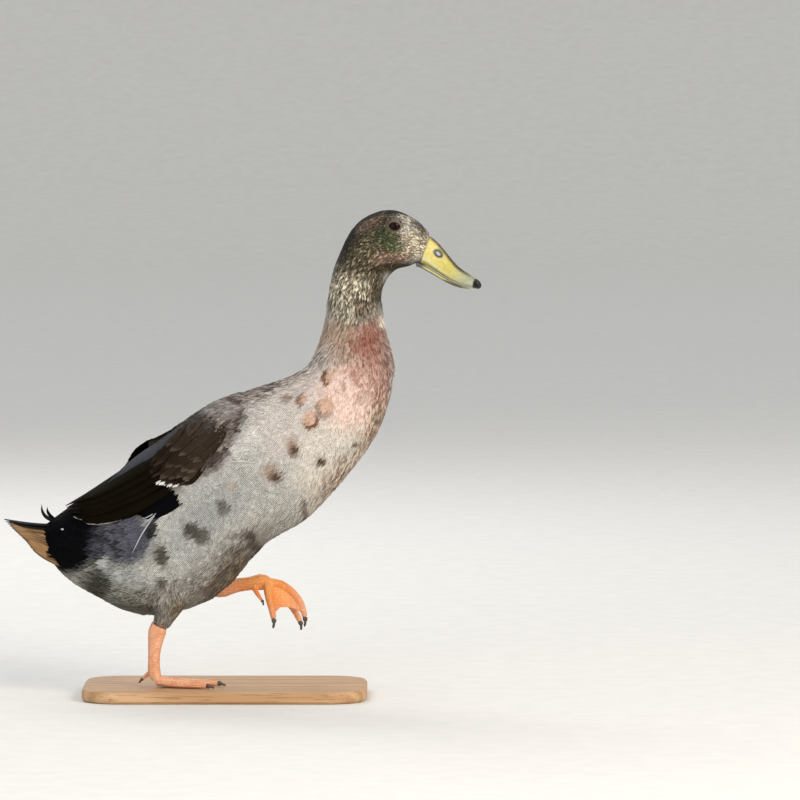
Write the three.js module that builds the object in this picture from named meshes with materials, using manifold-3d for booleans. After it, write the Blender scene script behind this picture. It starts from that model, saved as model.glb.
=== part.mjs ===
// A domestic duck, a slim upright drake in dull summer plumage, life size and in mid stride: it stands on its
// right foot, swings the left foot forward, and holds its neck up and its bill a little down.
// Millimetres, +X towards the bill, +Y to the bird's left, +Z up. The origin is the centre of the underside of
// the stand.
import * as THREE from "three";
import { mergeVertices } from "three/addons/utils/BufferGeometryUtils.js";
import Module from "manifold-3d";

const wasm = await Module();
wasm.setup();

// ---------------------------------------------------------------- driving dimensions

const GAP = 0.3; // clearance between neighbouring solids
const DEGREE = Math.PI / 180;
const SIDES = { right: -1, left: 1 };

// The plain display base. The bird's own heights start at its top.
const STAND = { length: 250, width: 150, thickness: 10, corner: 34, rounding: 2 };

// Stations of the feathered body from the tail root to the bill. Each gives the back and belly points of one flat
// section as [forward, up], its half width, and how far up the section is widest, from 0 at the belly to 1.
const STATIONS = {
  rumpEnd: { back: [-161, 138], belly: [-161, 121], halfWidth: 8, widest: 0.5 },
  tailRoot: { back: [-152, 146], belly: [-154, 110], halfWidth: 21, widest: 0.5 },
  rump: { back: [-139, 156], belly: [-139, 93], halfWidth: 32, widest: 0.5 },
  vent: { back: [-123, 166], belly: [-120, 81], halfWidth: 42, widest: 0.48 },
  loin: { back: [-91, 190], belly: [-75, 61], halfWidth: 54, widest: 0.48 },
  thighs: { back: [-56, 214.5], belly: [-11, 75], halfWidth: 57, widest: 0.48 },
  midBack: { back: [-17, 242.5], belly: [37, 125], halfWidth: 57, widest: 0.47 },
  wingBend: { back: [6, 254.5], belly: [68, 143], halfWidth: 56.5, widest: 0.46 },
  shoulders: { back: [31, 263.5], belly: [93, 167], halfWidth: 54, widest: 0.45 },
  crop: { back: [71, 280], belly: [135, 223], halfWidth: 43, widest: 0.45 },
  neckFoot: { back: [84, 304], belly: [149, 277], halfWidth: 32, widest: 0.48 },
  lowerNeck: { back: [89, 326.5], belly: [139, 323], halfWidth: 23.5, widest: 0.5 },
  upperNeck: { back: [92, 353], belly: [139, 350], halfWidth: 21, widest: 0.5 },
  nape: { back: [100, 379], belly: [151, 366], halfWidth: 20, widest: 0.5 },
  hindCrown: { back: [117, 408], belly: [162, 368.5], halfWidth: 19.5, widest: 0.46 },
  eyes: { back: [145, 419], belly: [166, 370.5], halfWidth: 18, widest: 0.42 },
  forehead: { back: [168.5, 410], belly: [170, 372], halfWidth: 13.5, widest: 0.42 },
  billBase: { back: [181, 397], belly: [172.5, 371.5], halfWidth: 10, widest: 0.4 },
};
const PLACE = Object.fromEntries(Object.keys(STATIONS).map((name, i) => [name, i]));
const LAST_STATION = Object.keys(STATIONS).length - 1;

// Where the body is parted, counted in stations.
const PARTINGS = {
  rump: [0, PLACE.vent + 1 / 3],
  trunk: [PLACE.vent + 1 / 3, PLACE.shoulders + 1 / 3],
  breast: [PLACE.shoulders + 1 / 3, PLACE.neckFoot + 1 / 3],
  neck: [PLACE.neckFoot + 1 / 3, PLACE.nape],
  head: [PLACE.nape, LAST_STATION],
};
const BODY_AROUND = 22;
const ROWS_PER_STATION = 3;

const EYE = { forward: 149.2, up: 404.4, sideways: 11, radius: 7 };

// Sections of the bill from its root to its tip: ridge and lower edge as [forward, up], and half width.
const UPPER_BILL = [
  { back: [180.6, 396], belly: [172.6, 371.4], halfWidth: 9.6, widest: 0.2 },
  { back: [188, 389.5], belly: [180.5, 367.4], halfWidth: 9.3, widest: 0.18 },
  { back: [196.5, 379], belly: [190.5, 361.4], halfWidth: 9.1, widest: 0.17 },
  { back: [205, 369], belly: [201, 355.5], halfWidth: 9.9, widest: 0.18 },
  { back: [213, 363.2], belly: [210.5, 351.2], halfWidth: 11, widest: 0.22 },
  { back: [219.5, 358.8], belly: [218.2, 349.2], halfWidth: 10, widest: 0.3 },
  { back: [223.4, 354], belly: [222.8, 348.6], halfWidth: 5.2, widest: 0.4 },
  { back: [224.6, 351.4], belly: [224.2, 349], halfWidth: 1.6, widest: 0.5 },
];
const LOWER_BILL = [
  { back: [168.6, 374], belly: [169.5, 368.6], halfWidth: 8.2, widest: 0.6 },
  { back: [177.5, 368.4], belly: [178.8, 363.6], halfWidth: 8.4, widest: 0.6 },
  { back: [190, 361], belly: [190.5, 356.8], halfWidth: 8.2, widest: 0.6 },
  { back: [200.5, 355], belly: [200.5, 351.6], halfWidth: 8.8, widest: 0.6 },
  { back: [210, 350.7], belly: [210, 349.1], halfWidth: 9, widest: 0.6 },
  { back: [215.5, 349.2], belly: [215.3, 348.5], halfWidth: 5, widest: 0.5 },
];

// Feather tracts that lie on the body. Each runs back from one station to another, and across between two angles
// from the middle of the back, in degrees. Depths are how far it stands out of the body.
const WING = { front: PLACE.wingBend + 1 / 3, top: 5, frontBottom: 36, bottom: 73, edge: 1.6, depth: 6 };
const WING_TIP = { rear: PLACE.rump - 1 / 3, top: 4, tip: 12, edge: 2, depth: 5.4, crossing: 7 };
const WING_PARTING = PLACE.thighs - 1 / 3;
const FLANK = { front: PLACE.shoulders + 1 / 3, rear: PLACE.loin, fold: 142, edge: 1.3, depth: 3.5 };
const TRACT_GAP = 0.6; // degrees between neighbouring tracts
const TRACT_BASE = 0.75; // how far a tract's underside clears the body, whose facets stand out a little

// The tail fan: a roof of quills, the middle ones the longest, from root to tip as [forward, up].
const TAIL = {
  root: [-148, 140],
  tip: [-195.4, 145],
  sideRoot: [-145, 113.5],
  sideTip: [-160, 114.5],
  rootHalfWidth: 19,
  tipHalfWidth: 29,
  arch: 1.6,
  sag: 1.5,
  thickness: [2.4, 1],
};
// The drake's curled feathers over the tail, as knots of forward, sideways, up, half thickness and half width.
const CURLS = {
  tail_curl_right: [
    [-146, -2.6, 143, 0.7, 2.6], [-154.5, -3, 146, 0.8, 3.2],
    [-160, -3.4, 151, 0.7, 2.8], [-161.4, -3.6, 159.6, 0.4, 0.8],
  ],
  tail_curl_left: [
    [-146, 3.4, 143, 0.7, 2.6], [-152, 4, 146.5, 0.8, 3.2],
    [-156, 4.4, 151, 0.7, 2.6], [-156.6, 4.6, 156.5, 0.4, 0.8],
  ],
};

// Legs, as knots of forward, sideways, up, half depth and half width, from the body down.
const THIGHS = {
  right: [
    [-39, -27, 100, 21, 14], [-46.5, -31, 77, 14.5, 12.5],
    [-53.5, -30.5, 61, 9.6, 8.6], [-56.5, -29.5, 54.5, 6.4, 6],
  ],
  left: [
    [-34, 29, 110, 22, 15], [-22, 32, 97, 17, 13.5],
    [-11, 33.5, 87, 10.5, 9], [-4.5, 33.5, 81.5, 6.6, 6.2],
  ],
};
const SHANKS = {
  right: [
    [-55.5, -30, 60, 5.5, 4.6], [-58.7, -29, 50.5, 8.2, 5.6], [-60.7, -28.5, 40, 6.8, 4.7],
    [-62, -28, 26.5, 5.4, 4.1], [-61.8, -27.5, 14, 5.8, 4.9], [-59.5, -27.5, 7, 4.6, 5.4],
  ],
  left: [
    [-12, 33.5, 79, 5.5, 4.6], [-3.5, 32.5, 81.5, 8, 5.6], [8.5, 31.5, 84.5, 6.6, 4.7],
    [21, 30.5, 86.2, 6.2, 4.4], [31, 30, 87.6, 7.6, 5.2], [37.5, 29.5, 86.6, 6, 5.4],
  ],
};
// Toes, as points of forward, sideways, up from the toe joint to the claw. The planted foot lies flat, and the
// lifted one hangs from its joint with the toes curled.
const TOES = {
  right: {
    inner: [[-59.5, -25.5, 5.8], [-47, -18.5, 4.2], [-36, -12, 3.6], [-28, -8, 3.1]],
    middle: [[-58.5, -27.5, 6.2], [-41.5, -26, 4.4], [-26, -24.5, 3.8], [-14, -23.5, 3.4], [-6.5, -23, 3]],
    outer: [[-59.5, -29.5, 5.8], [-46, -35, 4.2], [-33.5, -39.5, 3.7], [-22, -43, 3.3], [-15.5, -45, 3]],
    hind: [[-62, -26, 16], [-68, -23.5, 11], [-72, -22, 7.2]],
  },
  left: {
    inner: [[36.5, 27, 85.5], [38, 21, 75], [40.5, 18, 65], [42.3, 16.5, 56.5]],
    middle: [[36.5, 29.5, 87.6], [48.4, 30, 85.6], [59.6, 31, 77.6], [67, 32, 67], [69.6, 32, 56.5]],
    outer: [[37.5, 31.5, 85.5], [47.5, 38, 76.8], [55.4, 42, 68], [61.5, 45, 59], [65, 46, 51.5]],
    hind: [[24.5, 27, 83], [27.8, 24.5, 77.5], [31.5, 23.2, 72.5]],
  },
};
const TOE_RADIUS = [4.3, 2.7];
const HIND_TOE_RADIUS = [2.6, 1.7];
const CLAW = { length: 7, radius: 2, tipRadius: 0.4, hook: { right: 1.4, left: 2.6 }, hindScale: 0.65 };
const WEB = { thickness: 1.4, scallop: 0.3, reach: 0.93, slack: { right: 0, left: 4.5 } };
// The ways that the soles of the feet face.
const SOLE = { right: new THREE.Vector3(0, 0, -1), left: new THREE.Vector3(-0.8, 0, -0.6) };

const NAIL = { centre: [221.3, 353.6], length: 5.2, halfWidth: 4.4, depth: 3.3, slope: -46 * DEGREE };

// ---------------------------------------------------------------- general forms

const point = ([forward, up], sideways = 0) => new THREE.Vector3(forward, sideways, up);
const mix = THREE.MathUtils.lerp;
const ease = (x) => THREE.MathUtils.smoothstep(x, 0, 1);

/** A closed manifold-3d solid from a geometry whose faces may all point in. */
function solidOf(geometry) {
  const bare = geometry.clone();
  bare.deleteAttribute("normal");
  bare.deleteAttribute("uv");
  const merged = mergeVertices(bare, 1e-4);
  const made = (triVerts) =>
    new wasm.Manifold(
      new wasm.Mesh({ numProp: 3, vertProperties: merged.attributes.position.array, triVerts }),
    );
  const solid = made(new Uint32Array(merged.index.array));
  return solid.volume() > 0 ? solid : made(new Uint32Array(merged.index.array).reverse());
}

/** The geometry of a manifold-3d solid. */
function geometryOf(solid) {
  const { numProp, numVert, vertProperties, triVerts } = solid.getMesh();
  const places = new Float32Array(numVert * 3);
  for (let i = 0; i < numVert; i++) places.set(vertProperties.subarray(i * numProp, i * numProp + 3), i * 3);
  return new THREE.BufferGeometry()
    .setAttribute("position", new THREE.BufferAttribute(places, 3))
    .setIndex(new THREE.BufferAttribute(triVerts, 1));
}

/** Moves every vertex of a geometry to where place(vertex) says. */
function mapped(geometry, place) {
  const places = geometry.attributes.position;
  const vertex = new THREE.Vector3();
  for (let i = 0; i < places.count; i++) {
    const { x, y, z } = place(vertex.fromBufferAttribute(places, i));
    places.setXYZ(i, x, y, z);
  }
  return geometry;
}

/** A closed tube whose section at share t of its length is section(t, angle), closed at both ends. */
function loft(section, around, along) {
  const middle = (t) => section(t, 0).add(section(t, Math.PI)).multiplyScalar(0.5);
  return solidOf(
    mapped(new THREE.CylinderGeometry(1, 1, 1, around, along), ({ x, y, z }) => {
      const t = y + 0.5;
      const angle = Math.atan2(x, z);
      return middle(t).lerp(section(t, angle), Math.min(1, Math.hypot(x, z)));
    }),
  );
}

/** A closed plate over a patch of surface(u, v, w): u and v run over it, and w is 0 inside, 1 outside. */
function plate(surface, along, across) {
  const box = new THREE.BoxGeometry(1, 1, 1, along, across, 1);
  return solidOf(mapped(box, ({ x, y, z }) => surface(x + 0.5, y + 0.5, z + 0.5)));
}

/** A smooth surface through flat sections. Its place(station, angle, grow) has angle 0 at the back, 90 degrees at
 * the bird's left and 180 at the belly, and stands grow millimetres out. */
function sectioned(sections) {
  const curve = (pick) => new THREE.CatmullRomCurve3(sections.map(pick));
  const back = curve(({ back }) => point(back));
  const belly = curve(({ belly }) => point(belly));
  const girth = curve(({ halfWidth, widest }, i) => new THREE.Vector3(halfWidth, widest, 8 * i));
  return (station, angle, grow = 0) => {
    const t = station / (sections.length - 1);
    const { x: halfWidth, y: widest } = girth.getPoint(t);
    const [top, bottom] = [back.getPoint(t), belly.getPoint(t)];
    const middle = bottom.clone().lerp(top, widest);
    const reach = (Math.cos(angle) > 0 ? top : bottom).sub(middle);
    reach.setLength((reach.length() + grow) * Math.abs(Math.cos(angle)));
    const sideways = new THREE.Vector3(0, (halfWidth + grow) * Math.sin(angle), 0);
    return middle.add(reach).add(sideways);
  };
}

/** The solid between two stations of a sectioned surface. */
function between(surface, [from, to], around, perStation, grow = 0) {
  const rows = Math.round((to - from) * perStation);
  return loft((t, angle) => surface(mix(from, to, t), angle, grow), around, rows);
}

/** A tapered limb through knots of [forward, sideways, up, half depth, half width], with an oval section. */
function limb(knots, around, along, grow = 0) {
  const line = new THREE.CatmullRomCurve3(knots.map(([x, y, z]) => new THREE.Vector3(x, y, z)));
  const girth = ([, , , depth, width], i) => new THREE.Vector3(depth, width, 4 * i);
  const sizes = new THREE.CatmullRomCurve3(knots.map(girth));
  return loft(
    (t, angle) => {
      const heading = line.getTangent(t);
      const across = new THREE.Vector3(0, 1, 0).addScaledVector(heading, -heading.y).normalize();
      const front = across.clone().cross(heading).normalize();
      const { x: depth, y: width } = sizes.getPoint(t);
      return line
        .getPoint(t)
        .addScaledVector(heading, grow * (2 * t - 1))
        .addScaledVector(front, (depth + grow) * Math.cos(angle))
        .addScaledVector(across, (width + grow) * Math.sin(angle));
    },
    around,
    along,
  );
}

// ---------------------------------------------------------------- body, neck and head

const body = sectioned(Object.values(STATIONS));
const upperBill = sectioned(UPPER_BILL);
const lowerBill = sectioned(LOWER_BILL);

const HALF_CUT = 0.012; // half of a parting's width, counted in stations

function bodyPart(name, grow = 0) {
  const [from, to] = PARTINGS[name];
  const ends = [from === 0 ? 0 : from + HALF_CUT, to === LAST_STATION ? to : to - HALF_CUT];
  return between(body, ends, BODY_AROUND, ROWS_PER_STATION, grow);
}

/** The room that everything between the tail root and the bill takes up, for cutting its neighbours. */
const BODY_ROOM = between(body, [0, LAST_STATION], BODY_AROUND, ROWS_PER_STATION, GAP);

/** The angle of the folded wing's lower edge at a station. */
function wingEdge(station) {
  const { front, frontBottom, bottom } = WING;
  const toTip = THREE.MathUtils.inverseLerp(WING_PARTING, WING_TIP.rear, station);
  const narrowing = Math.max(0.01, 1 - Math.max(0, toTip) ** 3) ** 0.6;
  return mix(frontBottom, bottom, ease((front - station) / 1.5)) * narrowing + WING_TIP.tip * (1 - narrowing);
}

/** A feather tract of one side between the stations front and rear, whose top(station) and bottom(station) are
 * angles, and which stands depth(u, v) out of the body, u running from front to rear and v from top to bottom. */
function tract(side, { front, rear, top, bottom, depth }, across, grow = 0) {
  const surface = (u, v, w) => {
    const station = mix(front, rear, u);
    const angle = mix(top(station) - grow, bottom(station) + grow, v) * SIDES[side] * DEGREE;
    return body(station, angle, w ? depth(u, v) + grow : TRACT_BASE + 0.6 * u ** 6 - 6 * grow);
  };
  return plate(surface, Math.round((front - rear) * ROWS_PER_STATION), across);
}

/** Shoulder feathers and coverts over the folded wing. */
function wing(side) {
  const { front, top, edge, depth } = WING;
  const lap = side === "left" ? WING_TIP.crossing : 0;
  const crown = (v) => 0.35 + 0.65 * Math.sin(Math.PI * v) ** 0.7;
  return tract(side, {
    front,
    rear: WING_PARTING + HALF_CUT,
    top: () => top,
    bottom: wingEdge,
    depth: (u, v) => edge + (depth - edge) * ease(u / 0.5) * crown(v) + lap * (1 - v) ** 3 * u ** 8,
  }, 6);
}

/** Flight feathers from the coverts to the wing's point over the rump. The left wing closes over the right. */
function wingTip(side) {
  const { rear, top, tip, edge, depth, crossing } = WING_TIP;
  const lap = side === "left" ? crossing : 0;
  return tract(side, {
    front: WING_PARTING - HALF_CUT,
    rear,
    top: (station) => mix(tip - 3, top, ease((station - rear) / 0.7)),
    bottom: wingEdge,
    depth: (u, v) =>
      edge + (depth - edge) * (1 - v ** 2) * (1 - 0.6 * u ** 4) + lap * (1 - v) ** 3 * (1 - u) ** 2,
  }, 6);
}

/** The side feathers below the wing, which end in a fold above the belly. */
function flank(side, grow = 0) {
  const { front, rear, fold, edge, depth } = FLANK;
  const crown = (v) => Math.sin(Math.PI * (0.12 + 0.76 * v)) ** 0.5;
  return tract(side, {
    front,
    rear,
    top: (station) => wingEdge(station) + TRACT_GAP,
    bottom: () => fold,
    depth: (u, v) => edge + (depth - edge) * Math.sin(Math.PI * u) ** 0.6 * crown(v),
  }, 6, grow);
}

function eyeball(side, grow = 0) {
  const ball = new THREE.SphereGeometry(EYE.radius + grow, 12, 8);
  return solidOf(ball.translate(EYE.forward, SIDES[side] * EYE.sideways, EYE.up));
}

function head() {
  return bodyPart("head")
    .subtract(eyeball("right", GAP))
    .subtract(eyeball("left", GAP))
    .subtract(between(lowerBill, [0, LOWER_BILL.length - 1], 12, 2, GAP))
    .subtract(between(upperBill, [0, UPPER_BILL.length - 1], 12, 2, GAP));
}

function nail(grow = 0) {
  const ball = new THREE.SphereGeometry(1, 12, 7);
  ball.scale(NAIL.length + grow, NAIL.halfWidth + grow, NAIL.depth + grow);
  ball.rotateY(-NAIL.slope);
  return solidOf(ball.translate(NAIL.centre[0], 0, NAIL.centre[1]));
}

// ---------------------------------------------------------------- tail

/** Moves a sheet(u, v) half its thickness(u) to each side along its own normal. */
function thickened(sheet, thickness) {
  const step = 1e-3;
  return (u, v, w) => {
    const along = sheet(u + step, v).sub(sheet(u - step, v));
    const over = sheet(u, v + step).sub(sheet(u, v - step));
    return sheet(u, v).addScaledVector(along.cross(over).normalize(), (w - 0.5) * thickness(u));
  };
}

/** The fan of tail quills, cut clear of the rump and the wing points. */
function tail() {
  const { root, tip, sideRoot, sideTip, rootHalfWidth, tipHalfWidth, arch, sag, thickness } = TAIL;
  const sheet = (u, v) => {
    const side = 2 * v - 1;
    const drop = Math.abs(side) ** arch;
    const start = point(root).lerp(point(sideRoot), drop);
    const end = point(tip).lerp(point(sideTip), drop);
    const place = start.lerp(end, u);
    place.y = side * mix(rootHalfWidth, tipHalfWidth, u);
    place.z -= sag * Math.sin(Math.PI * u);
    return place;
  };
  return plate(thickened(sheet, (u) => mix(...thickness, u)), 4, 10).subtract(BODY_ROOM);
}

// ---------------------------------------------------------------- legs

const thigh = (side, grow = 0) => limb(THIGHS[side], 12, 5, grow);
const shank = (side, grow = 0) => limb(SHANKS[side], 8, 9, grow);

const curveOf = (points) => new THREE.CatmullRomCurve3(points.map(([x, y, z]) => new THREE.Vector3(x, y, z)));

/** A toe through its points, thickest at its root. */
function toe(points, [rootRadius, tipRadius]) {
  const joints = points.length - 1;
  const knots = points.map((place, i) => {
    const radius = mix(rootRadius, tipRadius, i / joints);
    return [...place, radius, radius];
  });
  return limb(knots, 6, 2 * joints);
}

/** The web between two toes, with a hollow free edge and, on a lifted foot, some slack. */
function web(first, second, side) {
  const [one, other] = [curveOf(first), curveOf(second)];
  const sheet = (u, v) => {
    const reach = Math.max(0, u) * WEB.reach * (1 - WEB.scallop * Math.sin(Math.PI * v));
    const place = one.getPoint(reach).lerp(other.getPoint(reach), v);
    return place.addScaledVector(SOLE[side], WEB.slack[side] * Math.sin(Math.PI * v) * Math.max(0, u));
  };
  return plate(thickened(sheet, () => WEB.thickness), 5, 4);
}

/** Three front toes and their webs in one piece, flat where they meet the stand. */
function foot(side) {
  const { inner, middle, outer } = TOES[side];
  return [inner, middle, outer]
    .map((points) => toe(points, TOE_RADIUS))
    .concat([web(inner, middle, side), web(middle, outer, side)])
    .reduce((sum, solid) => sum.add(solid))
    .subtract(shank(side, GAP))
    .trimByPlane([0, 0, 1], GAP);
}

/** The small hind toe, clear of the shank it grows from. */
const hindToe = (side) => toe(TOES[side].hind, HIND_TOE_RADIUS).subtract(shank(side, GAP));

/** A claw that continues a toe and hooks towards the sole. */
function claw(points, side, scale) {
  const line = curveOf(points);
  const heading = line.getTangent(1);
  const knots = [0, 0.5, 1].map((t) => {
    const place = line
      .getPoint(1)
      .addScaledVector(heading, 1.5 * GAP + CLAW.length * scale * t)
      .addScaledVector(SOLE[side], CLAW.hook[side] * scale * t * t);
    const radius = mix(CLAW.radius * scale, CLAW.tipRadius, t);
    return [...place.toArray(), radius, radius * 0.8];
  });
  return limb(knots, 6, 2);
}

// ---------------------------------------------------------------- stand

function stand() {
  const { length, width, thickness, corner, rounding } = STAND;
  const [right, top] = [length / 2 - rounding, width / 2 - rounding];
  const inset = corner - rounding;
  const outline = new THREE.Shape();
  outline.moveTo(right, 0);
  outline.absarc(right - inset, top - inset, inset, 0, Math.PI / 2);
  outline.absarc(-right + inset, top - inset, inset, Math.PI / 2, Math.PI);
  outline.absarc(-right + inset, -top + inset, inset, Math.PI, 1.5 * Math.PI);
  outline.absarc(right - inset, -top + inset, inset, 1.5 * Math.PI, 2 * Math.PI);
  const plank = new THREE.ExtrudeGeometry(outline, {
    depth: thickness - 2 * rounding,
    bevelThickness: rounding,
    bevelSize: rounding,
    bevelSegments: 1,
    curveSegments: 4,
  });
  return solidOf(plank.translate(0, 0, rounding));
}

// ---------------------------------------------------------------- export

const finish = (color, roughness) => new THREE.MeshStandardMaterial({ color, roughness, metalness: 0 });
const MATERIALS = {
  headFeathers: finish(0x6b5f4c, 0.8),
  neckFeathers: finish(0x8f8069, 0.8),
  breastFeathers: finish(0xc08f78, 0.8),
  paleFeathers: finish(0xb3b0a8, 0.8),
  wingFeathers: finish(0x4a3c33, 0.75),
  flightFeathers: finish(0x2a211c, 0.65),
  blackFeathers: finish(0x14131a, 0.6),
  tailFeathers: finish(0x9c7259, 0.75),
  bill: finish(0xcfc35a, 0.45),
  horn: finish(0x1b1b1e, 0.4),
  legSkin: finish(0xe8834a, 0.55),
  eye: finish(0x1c0d0b, 0.1),
  oak: finish(0xc9a878, 0.55),
};

const duck = new THREE.Group();
const bird = new THREE.Group();
bird.position.z = STAND.thickness;
duck.add(bird);

function add(name, solid, material, parent = bird) {
  const mesh = new THREE.Mesh(geometryOf(solid), material);
  mesh.name = name;
  parent.add(mesh);
}

add("rump", bodyPart("rump"), MATERIALS.blackFeathers);
add("trunk", bodyPart("trunk"), MATERIALS.paleFeathers);
add("breast", bodyPart("breast"), MATERIALS.breastFeathers);
add("neck", bodyPart("neck"), MATERIALS.neckFeathers);
add("head", head(), MATERIALS.headFeathers);
const billWhole = between(upperBill, [0, UPPER_BILL.length - 1], 12, 2);
add("bill_upper", billWhole.subtract(nail(GAP)), MATERIALS.bill);
add("bill_lower", between(lowerBill, [0, LOWER_BILL.length - 1], 12, 2), MATERIALS.bill);
add("bill_nail", nail(), MATERIALS.horn);
add("tail", tail(), MATERIALS.tailFeathers);
for (const [name, knots] of Object.entries(CURLS)) {
  add(name, limb(knots, 6, 6).subtract(BODY_ROOM), MATERIALS.blackFeathers);
}

for (const side of Object.keys(SIDES)) {
  add(`eye_${side}`, eyeball(side), MATERIALS.eye);
  add(`wing_${side}`, wing(side), MATERIALS.wingFeathers);
  add(`wing_tip_${side}`, wingTip(side), MATERIALS.flightFeathers);
  add(`flank_${side}`, flank(side), MATERIALS.paleFeathers);
  add(`thigh_${side}`, thigh(side).subtract(BODY_ROOM.add(flank(side, GAP))), MATERIALS.paleFeathers);
  add(`shank_${side}`, shank(side).subtract(thigh(side, GAP)), MATERIALS.legSkin);
  add(`foot_${side}`, foot(side), MATERIALS.legSkin);
  add(`hind_toe_${side}`, hindToe(side), MATERIALS.legSkin);
  for (const [digit, points] of Object.entries(TOES[side])) {
    add(`claw_${digit}_${side}`, claw(points, side, digit === "hind" ? CLAW.hindScale : 1), MATERIALS.horn);
  }
}
add("stand_base", stand(), MATERIALS.oak, duck);

export default duck;
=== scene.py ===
"""A slim upright drake in dull summer plumage, caught in mid stride on a flat wooden base.

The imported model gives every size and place. Over it go one skin, a coat of mesh feathers, laid wing and
tail feathers, a smooth bill, eyes with lids, scaled legs and an oiled base. Places in mm are forward and
up, with heights over the top of the base, on which the bird stands. Other lengths are in metres, or as
they say.
"""
import itertools
import logging
import math
from dataclasses import dataclass, field, replace
from enum import Enum
from functools import cache

import bmesh
import bpy
import numpy as np
from mathutils import Matrix, Vector
from mathutils.bvhtree import BVHTree
from mathutils.kdtree import KDTree


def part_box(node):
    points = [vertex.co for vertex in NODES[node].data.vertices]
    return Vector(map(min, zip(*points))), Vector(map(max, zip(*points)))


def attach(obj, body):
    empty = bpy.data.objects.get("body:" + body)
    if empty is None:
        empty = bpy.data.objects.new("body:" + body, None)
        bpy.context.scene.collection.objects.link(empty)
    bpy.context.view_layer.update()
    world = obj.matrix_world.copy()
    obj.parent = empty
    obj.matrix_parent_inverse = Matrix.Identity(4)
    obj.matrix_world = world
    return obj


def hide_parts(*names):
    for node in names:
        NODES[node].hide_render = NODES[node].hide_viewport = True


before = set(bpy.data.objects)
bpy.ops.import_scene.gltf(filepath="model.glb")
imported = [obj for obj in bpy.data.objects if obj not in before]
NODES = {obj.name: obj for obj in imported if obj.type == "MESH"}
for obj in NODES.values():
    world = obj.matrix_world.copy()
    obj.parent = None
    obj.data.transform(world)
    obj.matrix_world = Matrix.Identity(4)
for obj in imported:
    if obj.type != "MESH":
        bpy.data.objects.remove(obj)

LOG = logging.getLogger("duck")
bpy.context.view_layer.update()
MM = 0.001
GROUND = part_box("stand_base")[1].z
SEED = 20
# the least distance of a feather's root from the bare parts, and the size of a feather on the baked map
BARE_MARGIN = 0.004
BAKE_PATCH = 0.003
# how far nodes are pushed out to close the cuts between them
BRIDGE = 0.0007
# where the thighs' feathers end: forward, up and to the side, and a size, in mm
HOCKS = ((-57, 52, -29, 15), (6, 81, 33, 15))
# mixes whole numbers to chance ones
HASH = (73856093, 19349663, 83492791, 40503, 977, 1274126177)

Array = np.ndarray
Pair = tuple[float, float]
Triple = tuple[float, float, float]
Mesh = bpy.types.Mesh
Material = bpy.types.Material
NodeTree = bpy.types.NodeTree
Node = bpy.types.Node
Socket = bpy.types.NodeSocket
BMesh = bmesh.types.BMesh
Chance = np.random.Generator


class Side(Enum):
    """A side of the bird, with the sign of its Y axis."""

    RIGHT = -1
    LEFT = 1

    @property
    def word(self) -> str:
        """The side's name as the CAD nodes spell it."""
        return self.name.lower()


# ---- general helpers


def at(forward: float, up: float, sideways: float = 0.0) -> Vector:
    """A place given in mm, heights over the base, as a vector in metres."""
    return Vector((forward * MM, sideways * MM, up * MM + GROUND))


def linear(colour: int) -> Triple:
    """A colour written as 0xRRGGBB, in linear light.

    Args:
        colour: the colour as it looks on a screen.

    Returns:
        Its red, green and blue between 0 and 1.
    """
    parts = [((colour >> shift) & 255) / 255 for shift in (16, 8, 0)]
    return tuple(((c + 0.055) / 1.055) ** 2.4 if c > 0.04045 else c / 12.92 for c in parts)


def rgba(colour: int) -> tuple[float, float, float, float]:
    """The same with an alpha of 1, as sockets take it."""
    return (*linear(colour), 1.0)


def smooth(x: Array | float, low: float = 0.0, high: float = 1.0) -> Array:
    """A soft step from 0 at low to 1 at high."""
    t = np.clip((np.asarray(x) - low) / (high - low), 0, 1)
    return t * t * (3 - 2 * t)


def unit(vectors: Array) -> Array:
    """Vectors of length one."""
    return vectors / np.maximum(np.linalg.norm(vectors, axis=-1, keepdims=True), 1e-12)


def coords(mesh: Mesh, normals: bool = False) -> Array:
    """The places, or with normals the vertex normals, of a mesh as rows of an array."""
    out = np.empty(len(mesh.vertices) * 3, np.float32)
    if normals:
        mesh.vertex_normals.foreach_get("vector", out)
    else:
        mesh.vertices.foreach_get("co", out)
    return out.reshape(-1, 3).astype(float)


def put_coords(mesh: Mesh, places: Array) -> None:
    """Moves a mesh's vertices to new places."""
    mesh.vertices.foreach_set("co", places.astype(np.float32).ravel())
    mesh.update()


def sunk(mesh: Mesh, depth: Array | float) -> Mesh:
    """A mesh with its vertices moved in along their normals."""
    put_coords(mesh, coords(mesh) - coords(mesh, normals=True) * depth)
    return mesh


def drift(points: Array, size: float, seed: int) -> Array:
    """Smooth random values over space.

    Args:
        points: places as rows.
        size: the size of a patch, in the unit of points.
        seed: which pattern.

    Returns:
        A value between 0 and 1 for each place.
    """
    cell = points / size
    corner = np.floor(cell).astype(np.int64)
    part = cell - corner
    part = part * part * (3 - 2 * part)
    total = np.zeros(len(points))
    for step in itertools.product((0, 1), repeat=3):
        x, y, z = (corner + step).T
        key = x * HASH[0] ^ y * HASH[1] ^ z * HASH[2] ^ (seed * HASH[3] + HASH[4])
        key = (key ^ (key >> 13)) * HASH[5]
        value = ((key ^ (key >> 16)) & 0xFFFF) / 0xFFFF
        total += value * np.prod(np.where(step, part, 1 - part), axis=1)
    return total


def stops_of(line: Array) -> Array:
    """How far along a line each of its points is."""
    return np.concatenate([[0], np.cumsum(np.linalg.norm(np.diff(line, axis=0), axis=1))])


def read_off(where: Array, stops: Array, rows: Array) -> Array:
    """Rows given at stops, read off in between."""
    return np.column_stack([np.interp(where, stops, rows[:, i]) for i in range(3)])


def from_side(points: Array) -> Array:
    """Points in metres as rows of forward and up in mm."""
    return np.column_stack([points[:, 0] / MM, (points[:, 2] - GROUND) / MM])


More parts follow.
